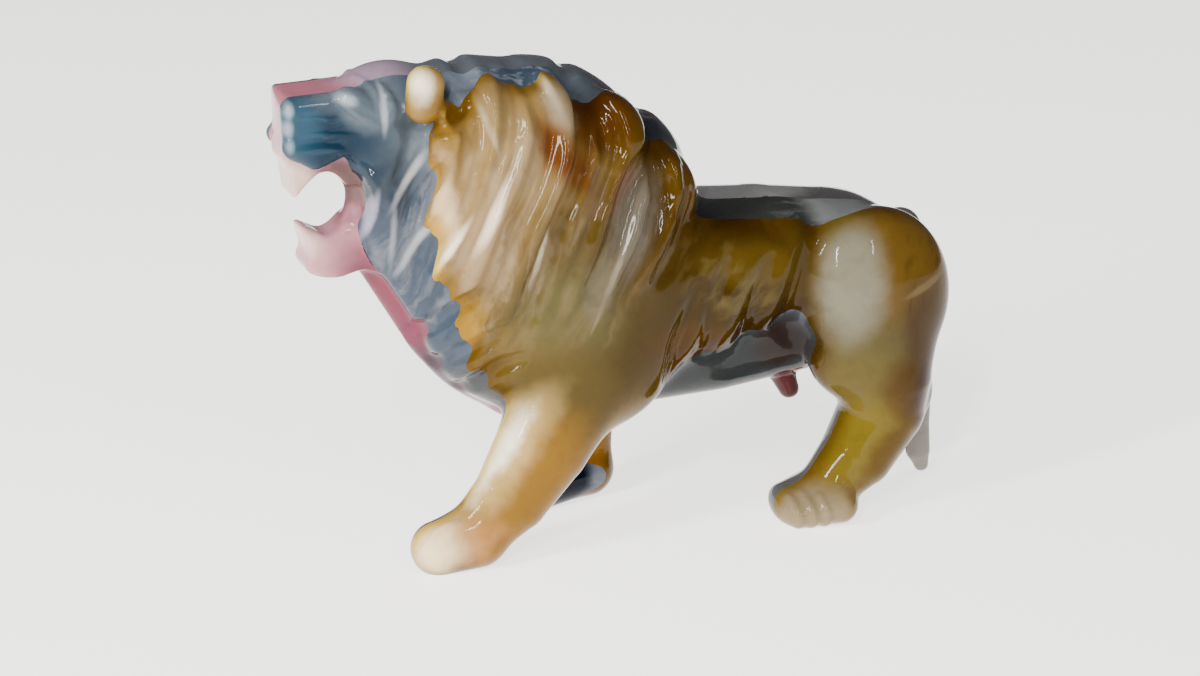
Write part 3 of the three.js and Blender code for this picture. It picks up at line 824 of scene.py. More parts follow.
    def creases(self) -> list[Stroke]:
        """Return the creases round eye and mouth."""
        return [Stroke(line) for line in (self.eye_edge, self.eye_arc, self.lip_crease, self.mouth_corner)]

    def whisker_lines(self) -> list[Stroke]:
        """Return the faint lines along the muzzle."""
        return [Stroke(line) for line in self.whiskers]


@dataclass
class Tail:
    """The tail, which hangs down behind the rump, and the small bump under the belly."""

    tail: Limb = Limb(
        ((70, 0, 62), (76, 0, 54), (76.5, 0, 42), (76.2, 0, 28), (76.4, 0, 14), (77.1, 0, 7), (78.1, 0, 3.4)),
        (5, 4, 3.8, 3.4, 3.1, 2.9, 1.8),
    )
    belly_bump: Limb = Limb(((40, 0, 33), (43, 0, 26.5)), (3.4, 2.4))

    def model(self, clay: Clay) -> None:
        """Add the tail and the bump to the clay."""
        clay.add(self.tail, blend=2)
        clay.add(self.belly_bump, blend=2)


@dataclass
class Coat:
    """Locks of hair, ribs and creases."""

    lock_radius: float = 5.0
    lock_height: float = 1.8
    valley_gouge: Gouge = Gouge(3.2, 1.7)
    notch_gouge: Gouge = Gouge(2.4, 1.9)
    neck_gouge: Gouge = Gouge(3.2, 1.36)
    rib_gouge: Gouge = Gouge(3.4, 1.2, blend=2.5)
    thigh_gouge: Gouge = Gouge(4.2, 1.6, blend=3)
    crest_gouge: Gouge = Gouge(3.2, 1.19)
    crest_partings: tuple[Place, ...] = ((-36, 0), (-11.9, 4), (5.5, 4))
    crest_half_width: float = 12
    crest_points: int = 13
    locks: tuple[tuple[Place, ...], ...] = (
        ((-40, 99), (-40.5, 95), (-41.5, 90), (-44, 83), (-47, 76)),
        ((-35, 106), (-33, 100), (-34, 93), (-36.5, 86), (-40, 78), (-43, 70), (-46, 61)),
        ((-26, 101), (-28, 94), (-31, 87), (-34.5, 80), (-37, 72), (-39, 63), (-42, 54)),
        ((-21, 106), (-17.5, 100), (-17, 93), (-19.5, 86), (-24, 78), (-27, 69), (-30, 59), (-35, 49)),
        ((-12.5, 96), (-11, 90), (-13, 84), (-17, 76), (-21, 66), (-26, 54)),
        ((-9, 102), (-4, 98), (-3.5, 92), (-6.5, 86), (-10, 79), (-13, 70), (-18, 60)),
        ((-1, 88), (-0.5, 81), (-4, 72), (-8, 63), (-13, 54)),
        ((4, 90), (7, 85), (7, 78), (3.5, 70), (-2, 62)),
    )
    valleys: tuple[tuple[Place, ...], ...] = (
        ((-43, 96), (-44, 91), (-47, 85), (-51, 80)),
        ((-37.5, 104), (-37.3, 98), (-38, 91), (-40, 84), (-43, 77), (-48, 69)),
        ((-29.5, 107), (-29.5, 100), (-31, 92), (-34.5, 84), (-38, 76), (-41, 67), (-47, 57)),
        ((-25, 108), (-22.5, 99), (-23, 92), (-26, 84), (-30, 76), (-33, 67), (-36, 58), (-42, 48)),
        ((-14.5, 106), (-13.5, 98), (-14.5, 91), (-17.5, 84), (-21.5, 76), (-25, 66), (-29, 55), (-34, 46)),
        ((-11, 103), (-8, 97), (-8, 91), (-11, 85), (-15, 78), (-19, 68), (-24, 57)),
        ((1, 98), (2, 92), (-1.5, 87), (-6, 81), (-9, 72), (-14, 62)),
        ((2.5, 90), (3.5, 84), (1.5, 77), (-3, 68), (-9, 58)),
        ((10, 86), (10.5, 79), (7.5, 71), (2, 63)),
    )
    neck_locks: tuple[tuple[Place, ...], ...] = (
        ((-46, 97), (-49, 90), (-53, 84)),
        ((-44, 88), (-48, 80), (-51, 70)),
        ((-44, 78), (-46, 71), (-48, 63)),
    )
    ribs: tuple[tuple[Place, ...], ...] = (
        ((12.5, 58), (8.5, 48), (6.5, 38)),
        ((19.5, 63), (16, 54), (15.3, 43)),
        ((30, 63), (26.6, 55), (25.8, 45)),
        ((38.5, 63), (36, 55), (35, 46)),
    )
    edge_notches: tuple[tuple[Place, ...], ...] = (
        ((-38, 100.5), (-43.5, 98.6), (-50, 98)),
        ((-36, 62), (-42, 57), (-48, 50)),
        ((-32, 54), (-37.5, 49.5), (-43, 44)),
        ((-27, 48), (-33, 44.5), (-38, 38)),
    )
    thigh_crease: tuple[Place, ...] = ((43.5, 72), (41, 66), (39.5, 58), (39, 50), (40, 43))
    long_hairs: tuple[tuple[Place, ...], ...] = (
        ((-1.6, 96.5), (-0.7, 93.2), (-2, 90), (-3.9, 86.5), (-6.6, 82), (-7.8, 79.3)),
        ((2.3, 89.5), (3.8, 84.7), (4.2, 79.9), (3.6, 75.2), (2.6, 71.5)),
        ((8.1, 88.3), (9.9, 83), (9.8, 76.4), (8.3, 71.7), (6.3, 67.6)),
        ((-25.8, 98.2), (-28.6, 94.8), (-30.7, 91.8), (-32.4, 88.3), (-33.8, 83.4), (-34.6, 78)),
        ((-27, 39.6), (-30.1, 36.9), (-30.8, 35.2)),
        ((-25, 35.9), (-27.1, 34.4)),
    )

    def model(self, clay: Clay) -> None:
        """Lay the locks on both flanks and press the grooves.

        Args:
            clay: the clay.
        """
        for side in (LEFT, RIGHT):
            for lock in self.locks:
                clay.ridge(lock, side, self.lock_radius, self.lock_height)
            for line, gouge in self.grooves():
                clay.groove(line, side, gouge)
        for x, slant in self.crest_partings:
            self.part_crest(clay, x, slant)

    def grooves(self) -> list[tuple[tuple[Place, ...], Gouge]]:
        """Pair every groove of a flank with its tool.

        Returns:
            The grooves, in the order in which they are pressed.
        """
        kinds = (
            (self.valleys, self.valley_gouge),
            (self.edge_notches, self.notch_gouge),
            (self.neck_locks, self.neck_gouge),
            (self.ribs, self.rib_gouge),
            ((self.thigh_crease,), self.thigh_gouge),
        )
        return [(line, gouge) for lines, gouge in kinds for line in lines]

    def part_crest(self, clay: Clay, x: float, slant: float) -> None:
        """Cut the parting between two lobes over the crest from flank to flank.

        Args:
            clay: the clay.
            x: where the parting crosses the middle of the crest.
            slant: how much further forward its ends lie.
        """
        half, gouge = self.crest_half_width, self.crest_gouge
        y = np.linspace(-half, half, self.crest_points)
        top = clay.on_top(np.stack([x - slant * (y / half) ** 2, y], axis=1))
        lift = np.full(len(top), gouge.radius - gouge.depth)
        clay.cut(Limb(clay.lifted(top, lift), (gouge.radius,) * len(top)), gouge.blend)

    def partings(self) -> list[Stroke]:
        """Return the crisp partings at the bottom of the valleys."""
        return [Stroke(valley) for valley in self.valleys + self.neck_locks]

    def hairs(self) -> list[Stroke]:
        """Return the fine hair lines of mane and elbow, and the lines between the ribs."""
        return [Stroke(hair) for hair in self.long_hairs + self.ribs]


class Stone(Enum):
    """The three onyxes of the block, with the record's slot names."""

    HONEY = "honey_onyx"
    BLUE_GREY = "blue_grey_onyx"
    PINK = "pink_onyx"


@dataclass(frozen=True)
class Slab:
    """One slab of the block, or what the carving left of it.

    Where the carving cuts a slab in two, rank 0 is the larger body and rank 1 the smaller.
    """

    name: str
    node: str
    stone: Stone
    from_y: float
    to_y: float
    rank: int = 0


SLABS = (
    Slab("honey_stone_left", "honey_onyx_left", Stone.HONEY, -BLOCK_HALF_WIDTH, -INNER_SLAB_OUTER_FACE),
    Slab(
        "blue_grey_stone_left", "blue_grey_onyx_left", Stone.BLUE_GREY,
        -INNER_SLAB_OUTER_FACE, -CENTRE_SLAB_HALF,
    ),
    Slab("pink_stone_centre", "pink_onyx_centre", Stone.PINK, -CENTRE_SLAB_HALF, CENTRE_SLAB_HALF),
    Slab(
        "blue_grey_stone_right", "blue_grey_onyx_right", Stone.BLUE_GREY,
        CENTRE_SLAB_HALF, INNER_SLAB_OUTER_FACE,
    ),
    Slab(
        "blue_grey_stone_forepaw", "blue_grey_onyx_forepaw", Stone.BLUE_GREY,
        CENTRE_SLAB_HALF, INNER_SLAB_OUTER_FACE, rank=1,
    ),
    Slab("honey_stone_right", "honey_onyx_right", Stone.HONEY, INNER_SLAB_OUTER_FACE, BLOCK_HALF_WIDTH),
)


def saw(whole: bpy.types.Mesh, slab: Slab) -> bpy.types.Object:
    """Saw one slab's share out of the carved lion.

    Args:
        whole: the mesh of the whole lion, in metres.
        slab: the slab whose stretch of Y is kept.

    Returns:
        The piece, closed along its joints, shaded as one surface with its neighbours.
    """
    shape = bmesh.new()
    shape.from_mesh(whole)
    smooth = shape.verts.layers.float_vector.new("polish")
    for vertex in shape.verts:
        vertex[smooth] = vertex.normal
    cut_away(shape, Vector((0, slab.from_y * MM, 0)), Vector((0, -1, 0)))
    cut_away(shape, Vector((0, slab.to_y * MM, 0)), Vector((0, 1, 0)))
    cut_away(shape, Vector(), Vector((0, 0, -1)))
    keep_body(shape, slab.rank)
    mesh = bpy.data.meshes.new(slab.name)
    shape.to_mesh(mesh)
    polish_shading(mesh, shape, smooth)
    shape.free()
    piece = bpy.data.objects.new(slab.name, mesh)
    bpy.context.scene.collection.objects.link(piece)
    return piece


def cut_away(shape: bmesh.types.BMesh, place: Vector, outward: Vector) -> None:
    """Cut off what lies beyond a plane and close the cut with flat faces.

    Args:
        shape: the mesh that is sawn.
        place: a point of the plane.
        outward: the side of the plane that is cut off.
    """
    parts = shape.verts[:] + shape.edges[:] + shape.faces[:]
    cut = bmesh.ops.bisect_plane(
        shape, geom=parts, dist=SAW_TOLERANCE, plane_co=place, plane_no=outward, clear_outer=True,
    )
    rim = [part for part in cut["geom_cut"] if isinstance(part, bmesh.types.BMEdge) and part.is_boundary]
    if rim:
        caps = bmesh.ops.triangle_fill(shape, use_beauty=True, use_dissolve=False, edges=rim, normal=outward)
        for face in caps["geom"]:
            if isinstance(face, bmesh.types.BMFace) and face.normal.dot(outward) < 0:
                face.normal_flip()
    shape.normal_update()


def keep_body(shape: bmesh.types.BMesh, rank: int) -> None:
    """Keep only one of the bodies that the saw left.

    Args:
        shape: the sawn mesh.
        rank: 0 for the largest body, 1 for the next one.
    """
    left = set(shape.verts)
    bodies = []
    while left:
        front = [left.pop()]
        body = set(front)
        while front:
            vertex = front.pop()
            for edge in vertex.link_edges:
                other = edge.other_vert(vertex)
                if other in left:
                    left.discard(other)
                    body.add(other)
                    front.append(other)
        bodies.append(body)
    bodies.sort(key=len, reverse=True)
    spare = [vertex for body in bodies if body is not bodies[rank] for vertex in body]
    bmesh.ops.delete(shape, geom=spare, context="VERTS")


def polish_shading(mesh: bpy.types.Mesh, shape: bmesh.types.BMesh, smooth: bmesh.types.BMLayerItem) -> None:
    """Shade the skin by the whole lion's normals, and the sawn faces flat.

    Args:
        mesh: the finished mesh of the piece.
        shape: the sawn mesh, with the same faces in the same order.
        smooth: the layer of the sawn mesh that holds the whole lion's normals.
    """
    mesh.shade_smooth()
    normals = np.zeros((len(mesh.loops), 3), dtype=np.float32)
    loop = 0
    for face in shape.faces:
        flat = abs(face.normal.y) > SAWN_COSINE or face.normal.z < -SAWN_COSINE
        for vertex in face.verts:
            normals[loop] = face.normal if flat else vertex[smooth]
            loop += 1
    mesh.normals_split_custom_set(normals.tolist())


class NodeBench:
    """A node tree that is built node by node."""

    def __init__(self, tree: bpy.types.NodeTree) -> None:
        """Work on a tree."""
        self.tree = tree

    def feed(self, socket: bpy.types.NodeSocket, value: Feed) -> None:
        """Link an input to another node's output, or give it a constant.

        Args:
            socket: the input.
            value: the output or the constant.
        """
        if isinstance(value, bpy.types.NodeSocket):
            self.tree.links.new(value, socket)
        else:
            socket.default_value = value

    def add(self, kind: str, feeds: dict[str | int, Feed], **settings: str | float | bool) -> bpy.types.Node:
        """Add a node.

        Args:
            kind: the node's type.
            feeds: what goes into each named or numbered input.
            settings: properties of the node itself.

        Returns:
            The node.
        """
        node = self.tree.nodes.new(kind)
        for name, value in settings.items():
            setattr(node, name, value)
        for name, value in feeds.items():
            self.feed(node.inputs[name], value)
        return node

    def times(self, a: Feed, b: Feed) -> bpy.types.NodeSocket:
        """Multiply two amounts."""
        return self.add("ShaderNodeMath", {0: a, 1: b}, operation="MULTIPLY").outputs[0]


@dataclass(frozen=True)
class Engraver:
    """A Geometry Nodes tool that cuts lines into the skin of the stone.

    The lines are drawn in the side view and thrown sideways on to the skin. The skin beside them
    is pressed in along its normals, and every line fades out towards its ends.
    """

    name: str
    strokes: Sequence[Stroke]
    depth: float
    width: float
    spacing: float = 0.5
    throw: float = 60.0

    def sockets(self, lines: bpy.types.Object, stone: bpy.types.Material) -> dict[str, tuple[str, object]]:
        """Name the inputs of the tree.

        Args:
            lines: the drawing that the tool follows.
            stone: the material of the engraved skin.

        Returns:
            The kind and the value of each input.
        """
        return {
            "Lines": ("NodeSocketObject", lines),
            "Depth": ("NodeSocketFloat", self.depth * MM),
            "Width": ("NodeSocketFloat", self.width * MM),
            "Spacing": ("NodeSocketFloat", self.spacing * MM),
            "Throw": ("NodeSocketFloat", self.throw * MM),
            "Stone": ("NodeSocketMaterial", stone),
        }

    def draw(self) -> bpy.types.Object:
        """Draw the strokes in the air beside the lion.

        Returns:
            One object with a curve for each stroke and flank.
        """
        curves = bpy.data.curves.new(self.name + "_lines", "CURVE")
        curves.dimensions = "3D"
        for stroke in self.strokes:
            for side in stroke.sides:
                points = smooth_curve(stroke.places)
                line = curves.splines.new("POLY")
                line.points.add(len(points) - 1)
                for point, (x, z) in zip(line.points, points):
                    point.co = ((x - MIDDLE_X) * MM, side * BLOCK_HALF_WIDTH * MM, z * MM, 1)
        drawing = bpy.data.objects.new(self.name + "_lines", curves)
        bpy.context.scene.collection.objects.link(drawing)
        return drawing

    def fit(self, lion: bpy.types.Object, stone: bpy.types.Material) -> bpy.types.Object:
        """Put the tool on the lion as a modifier.

        Args:
            lion: the whole lion.
            stone: the material of the engraved skin.

        Returns:
            The drawing that the tool follows.
        """
        drawing = self.draw()
        sockets = self.sockets(drawing, stone)
        modifier = lion.modifiers.new(self.name, "NODES")
        modifier.node_group = self.build_tree(sockets)
        for item in modifier.node_group.interface.items_tree:
            if item.in_out == "INPUT" and item.name in sockets:
                modifier[item.identifier] = sockets[item.name][1]
        return drawing

    def build_tree(self, sockets: dict[str, tuple[str, object]]) -> bpy.types.NodeTree:
        """Build the tree that throws the lines on to the skin and presses it in beside them.

        Args:
            sockets: the kind and value of each named input.

        Returns:
            The tree.
        """
        tree = bpy.data.node_groups.new(self.name, "GeometryNodeTree")
        tree.interface.new_socket("Geometry", in_out="INPUT", socket_type="NodeSocketGeometry")
        for name, (kind, _) in sockets.items():
            tree.interface.new_socket(name, in_out="INPUT", socket_type=kind)
        tree.interface.new_socket("Geometry", in_out="OUTPUT", socket_type="NodeSocketGeometry")
        bench = NodeBench(tree)
        given = bench.add("NodeGroupInput", {}).outputs
        lines = self.thrown_lines(bench, given)
        depth = bench.times(self.nearness(bench, given, lines), given["Depth"])
        normal = bench.add("GeometryNodeInputNormal", {}).outputs[0]
        feeds = {"Vector": normal, "Scale": bench.times(depth, -1.0)}
        push = bench.add("ShaderNodeVectorMath", feeds, operation="SCALE").outputs[0]
        feeds = {"Geometry": given["Geometry"], "Offset": push}
        pressed = bench.add("GeometryNodeSetPosition", feeds).outputs[0]
        real = bench.add("GeometryNodeRealizeInstances", {"Geometry": pressed}).outputs[0]
        feeds = {"Geometry": real, "Material": given["Stone"]}
        dressed = bench.add("GeometryNodeSetMaterial", feeds).outputs[0]
        bench.add("NodeGroupOutput", {0: dressed})
        return tree

    def nearness(
        self, bench: NodeBench, given: bpy.types.NodeOutputs, lines: bpy.types.NodeSocket,
    ) -> bpy.types.NodeSocket:
        """Add the nodes that weigh how near the skin is to a line.

        Args:
            bench: the tree that is being built.
            given: the tree's inputs.
            lines: the lines on the skin.

        Returns:
            The weight, one on a line and nothing beyond its width and at its ends.
        """
        gap = bench.add("GeometryNodeProximity", {0: lines}, target_element="EDGES").outputs["Distance"]
        feeds = {"Value": gap, "From Min": given["Width"], "From Max": 0.0}
        near = bench.add("ShaderNodeMapRange", feeds, interpolation_type="SMOOTHSTEP").outputs["Result"]
        where = bench.add("GeometryNodeInputPosition", {}).outputs[0]
        feeds = {"Geometry": lines, "Sample Position": where}
        nearest = bench.add("GeometryNodeSampleNearest", feeds).outputs[0]
        taper = bench.add("GeometryNodeInputNamedAttribute", {"Name": "taper"}).outputs[0]
        feeds = {"Geometry": lines, "Value": taper, "Index": nearest}
        return bench.times(near, bench.add("GeometryNodeSampleIndex", feeds).outputs[0])

    def thrown_lines(self, bench: NodeBench, given: bpy.types.NodeOutputs) -> bpy.types.NodeSocket:
        """Add the nodes that throw the drawn lines sideways on to the skin.

        Args:
            bench: the tree that is being built.
            given: the tree's inputs.

        Returns:
            The lines as edges on the skin, with the attribute "taper" that falls to nothing at both ends.
        """
        drawn = bench.add("GeometryNodeObjectInfo", {"Object": given["Lines"]}).outputs["Geometry"]
        feeds = {"Curve": drawn, "Length": given["Spacing"]}
        dense = bench.add("GeometryNodeResampleCurve", feeds, mode="LENGTH").outputs[0]
        along = bench.add("GeometryNodeSplineParameter", {}).outputs["Factor"]
        wave = bench.add("ShaderNodeMath", {0: bench.times(along, math.pi)}, operation="SINE").outputs[0]
        taper = bench.add("ShaderNodeMath", {0: wave, 1: TAPER_POWER}, operation="POWER").outputs[0]
        feeds = {"Geometry": dense, "Name": "taper", "Value": taper}
        marked = bench.add("GeometryNodeStoreNamedAttribute", feeds, domain="POINT").outputs[0]
        where = bench.add("GeometryNodeInputPosition", {}).outputs[0]
        feeds = {0: where, 1: (0.0, -1.0, 0.0)}
        inward = bench.add("ShaderNodeVectorMath", feeds, operation="MULTIPLY").outputs[0]
        feeds = {
            "Target Geometry": given["Geometry"],
            "Source Position": where,
            "Ray Direction": inward,
            "Ray Length": given["Throw"],
        }
        hit = bench.add("GeometryNodeRaycast", feeds).outputs
        feeds = {"Geometry": marked, "Selection": hit["Is Hit"], "Position": hit["Hit Position"]}
        thrown = bench.add("GeometryNodeSetPosition", feeds).outputs[0]
        return bench.add("GeometryNodeCurveToMesh", {"Curve": thrown}).outputs[0]


@dataclass(frozen=True)
class Drift:
    """A soft push: the size of its clouds and how far it goes, in the clay's millimetres."""

    size: float
    distance: float


class ShadeTree(NodeBench):
    """A stone material whose nodes are added one by one."""

    def __init__(self, name: str) -> None:
        """Start with a plain Principled material.

        Args:
            name: the material's name.
        """
        self.material = bpy.data.materials.new(name)
        self.material.use_nodes = True
        super().__init__(self.material.node_tree)
        self.shader = self.tree.nodes["Principled BSDF"]

    def place(self) -> bpy.types.NodeSocket:
        """Turn the object's coordinates into the clay's millimetres.

        Returns:
            The coordinates.
        """
        where = self.tree.nodes.new("ShaderNodeTexCoord")
        feeds = {"Vector": where.outputs["Object"], "Location": (MIDDLE_X, 0, 0), "Scale": (1 / MM,) * 3}
        return self.add("ShaderNodeMapping", feeds).outputs["Vector"]

    def noise(self, place: Feed, size: float, detail: float = 4.0, distortion: float = 0.0) -> bpy.types.Node:
        """Add a noise texture with clouds of the given size in the units of its coordinates."""
        feeds = {"Vector": place, "Scale": 1 / size, "Detail": detail, "Distortion": distortion}
        return self.add("ShaderNodeTexNoise", feeds)

    def drift(self, place: Feed, push: Drift) -> bpy.types.NodeSocket:
        """Push coordinates about by a soft noise, so that what is drawn with them has ragged edges.

        Args:
            place: the coordinates.
            push: the size of the noise's clouds, and how far they are pushed.

        Returns:
            The new coordinates.
        """
        feeds = {0: self.noise(place, push.size).outputs["Color"], 1: (0.5,) * 3}
        centred = self.add("ShaderNodeVectorMath", feeds, operation="SUBTRACT").outputs[0]
        feeds = {0: centred, 1: (2 * push.distance,) * 3, 2: place}
        return self.add("ShaderNodeVectorMath", feeds, operation="MULTIPLY_ADD").outputs[0]

    def fade(self, value: Feed, ends: Place, amounts: Place) -> bpy.types.NodeSocket:
        """Turn a value into an amount that changes softly between two values.

        Args:
            value: what is looked at.
            ends: the values where the change starts and stops.
            amounts: the amounts there.

        Returns:
            The amount.
        """
        feeds = {
            "Value": value,
            "From Min": ends[0],
            "From Max": ends[1],
            "To Min": amounts[0],
            "To Max": amounts[1],
        }
        return self.add("ShaderNodeMapRange", feeds, interpolation_type="SMOOTHSTEP").outputs["Result"]

    def lay(self, below: Feed, above: Feed, amount: Feed, blend: str = "MIX") -> bpy.types.NodeSocket:
        """Lay one colour over another by an amount."""
        feeds = {0: amount, 6: below, 7: above}
        return self.add("ShaderNodeMix", feeds, data_type="RGBA", blend_type=blend).outputs[2]


@dataclass(frozen=True)
class Cloud:
    """A soft region of one colour seen from the side, in the clay's millimetres. Most are tones in the stone;
    some are painted highlights, painted reflections and painted shade.

    Its pitch is how far its top leans towards the tail, in degrees.
    """

    centre: Place
    radii: Place
    colour: Colour
    pitch: float = 0.0
    strength: float = 1.0
    softness: float = 0.45

    def amount(self, shades: ShadeTree, place: Feed) -> bpy.types.NodeSocket:
        """Work out how much of the colour there is.

        Args:
            shades: the material that is being built.
            place: the coordinates.

        Returns:
            The amount, from nothing to the cloud's strength.
        """
        feeds = {
            "Vector": place,
            "Location": (self.centre[0], 0, self.centre[1]),
            "Rotation": (0, math.radians(self.pitch), 0),
            "Scale": (self.radii[0], THROUGH_STONE, self.radii[1]),
        }
        local = shades.add("ShaderNodeMapping", feeds, vector_type="TEXTURE").outputs["Vector"]
        reach = shades.add("ShaderNodeVectorMath", {0: local}, operation="LENGTH").outputs["Value"]
        return shades.fade(reach, (1 - self.softness, 1 + self.softness), (self.strength, 0))

    def lay(self, shades: ShadeTree, place: Feed, below: Feed) -> bpy.types.NodeSocket:
        """Lay the region over the colours below it."""
        return shades.lay(below, (*self.colour, 1), self.amount(shades, place))


@dataclass(frozen=True)
class Streaks(Cloud):
    """A region where the colour comes in streaks along the region's own upright direction.

    There are streaks where a stretched noise is above the value sparse, and contrast is how much
    higher it is where they are full.
    """

    width: float = 1.6
    length: float = 14.0
    sparse: float = 0.52
    contrast: float = 0.26

    def amount(self, shades: ShadeTree, place: Feed) -> bpy.types.NodeSocket:
        """Work out how much of the colour there is.

        Args:
            shades: the material that is being built.
            place: the coordinates.

        Returns:
            The amount, from nothing to the region's strength.
        """
        feeds = {
            "Vector": place,
            "Rotation": (0, math.radians(self.pitch), 0),
            "Scale": (self.width, 2 * self.width, self.length),
        }
        local = shades.add("ShaderNodeMapping", feeds, vector_type="TEXTURE").outputs["Vector"]
        grain = shades.noise(local, size=1.0, detail=3.0).outputs["Fac"]
        streak = shades.fade(grain, (self.sparse, self.sparse + self.contrast), (0, 1))
        return shades.times(streak, super().amount(shades, place))


@dataclass(frozen=True)
class OnyxFinish:
    """Polished onyx: clouds and streaks of colour in the stone under a high polish, with painted highlights,
    painted reflections and painted shade among the clouds.

    Sizes are in the clay's millimetres, but for wave_height and light_path, which are in metres.
    """

    name: str
    ground: tuple[Colour, Colour, Colour]
    # The clouds are tones of the stone, with painted highlights, painted reflections and painted shade among
    # them.
    clouds: tuple[Cloud, ...]
    rim: Optional[Colour] = None
    rim_ends: Place = (0.4, 5.5)
    cloud_size: float = 16.0
    wide_drift: Drift = Drift(14, 2.6)
    ragged_drift: Drift = Drift(4, 1.2)
    crisp_drift: Drift = Drift(4, 0.3)
    mottle_drift: Drift = Drift(6, 3)
    mottle_size: float = 2.4
    mottle_colour: Colour = (0.62, 0.6, 0.58)
    mottle_strength: float = 0.3
    wear_size: float = 9.0
    roughness: Place = (0.05, 0.12)
    wave_drift: Drift = Drift(20, 4)
    wave_size: float = 5.0
    wave_strength: float = 0.12
    wave_height: float = 0.0004
    specular_level: float = 0.12
    subsurface: float = 0.08
    light_path: Colour = (0.003, 0.002, 0.0014)

    def make(self) -> bpy.types.Material:
        """Build the material.

        Returns:
            The material.
        """
        shades = ShadeTree(self.name)
        place = shades.place()
        ragged = shades.drift(shades.drift(place, self.wide_drift), self.ragged_drift)
        crisp = shades.drift(place, self.crisp_drift)
        colour = self.ground_colour(shades, ragged)
        # Lay the clouds: tones of the stone, painted highlights, painted reflections and painted shade.
        for cloud in self.clouds:
            colour = cloud.lay(shades, crisp if min(cloud.radii) < FINE_CLOUD else ragged, colour)
        if self.rim:
            colour = self.rim_colour(shades, place, colour)
        colour = self.mottle(shades, place, colour)
        shades.feed(shades.shader.inputs["Base Color"], colour)
        self.polish(shades, place)
        self.let_light_in(shades.shader)
        return shades.material

    def ground_colour(self, shades: ShadeTree, place: Feed) -> bpy.types.NodeSocket:
        """Give the stone its own clouded colour.

        Args:
            shades: the material that is being built.
            place: the coordinates.

        Returns:
            The colour.
        """
        dark, middle, light = ((*colour, 1) for colour in self.ground)
        cloud = shades.noise(place, self.cloud_size, detail=5, distortion=0.6).outputs["Fac"]
        lower = shades.lay(dark, middle, shades.fade(cloud, (0.35, 0.5), (0, 1)))
        return shades.lay(lower, light, shades.fade(cloud, (0.5, 0.65), (0, 1)))

    def rim_colour(self, shades: ShadeTree, place: Feed, colour: Feed) -> bpy.types.NodeSocket:
        """Deepen the colour where the slab thins out towards the glue joint.

        Args:
            shades: the material that is being built.
            place: the coordinates.
            colour: the colour so far.

        Returns:
            The deepened colour.
        """
        y = shades.add("ShaderNodeSeparateXYZ", {0: place}).outputs["Y"]
        depth = shades.add("ShaderNodeMath", {0: y}, operation="ABSOLUTE").outputs[0]
        start, stop = (INNER_SLAB_OUTER_FACE + end for end in self.rim_ends)
        return shades.lay(colour, (*self.rim, 1), shades.fade(depth, (start, stop), (1, 0)), "MULTIPLY")

    def mottle(self, shades: ShadeTree, place: Feed, colour: Feed) -> bpy.types.NodeSocket:
        """Lay the fine grain of the stone over its colours.

        Args:
            shades: the material that is being built.
            place: the coordinates.
            colour: the colour so far.

        Returns:
            The mottled colour.
        """
        pushed = shades.drift(place, self.mottle_drift)
        fine = shades.noise(pushed, self.mottle_size, detail=5).outputs["Fac"]
        amount = shades.fade(fine, (0.45, 0.8), (0, self.mottle_strength))
        return shades.lay(colour, (*self.mottle_colour, 1), amount, "MULTIPLY")

    def polish(self, shades: ShadeTree, place: Feed) -> None:
        """Give the surface its polish, with faint waves and wear left by the polishing wheel.

        Args:
            shades: the material that is being built.
            place: the coordinates.
        """
        inputs = shades.shader.inputs
        wear = shades.noise(place, self.wear_size, detail=6).outputs["Fac"]
        shades.feed(inputs["Roughness"], shades.fade(wear, (0.3, 0.75), self.roughness))
        pushed = shades.drift(place, self.wave_drift)
        waves = shades.noise(pushed, self.wave_size, detail=2).outputs["Fac"]
        feeds = {"Height": waves, "Strength": self.wave_strength, "Distance": self.wave_height}
        shades.feed(inputs["Normal"], shades.add("ShaderNodeBump", feeds).outputs["Normal"])
        inputs["Specular IOR Level"].default_value = self.specular_level

    def let_light_in(self, shader: bpy.types.Node) -> None:
        """Let a little light travel below the surface.

        Args:
            shader: the material's shader.
        """
        shader.inputs["Subsurface Weight"].default_value = self.subsurface
        shader.inputs["Subsurface Radius"].default_value = self.light_path
        shader.inputs["Subsurface Scale"].default_value = 1.0


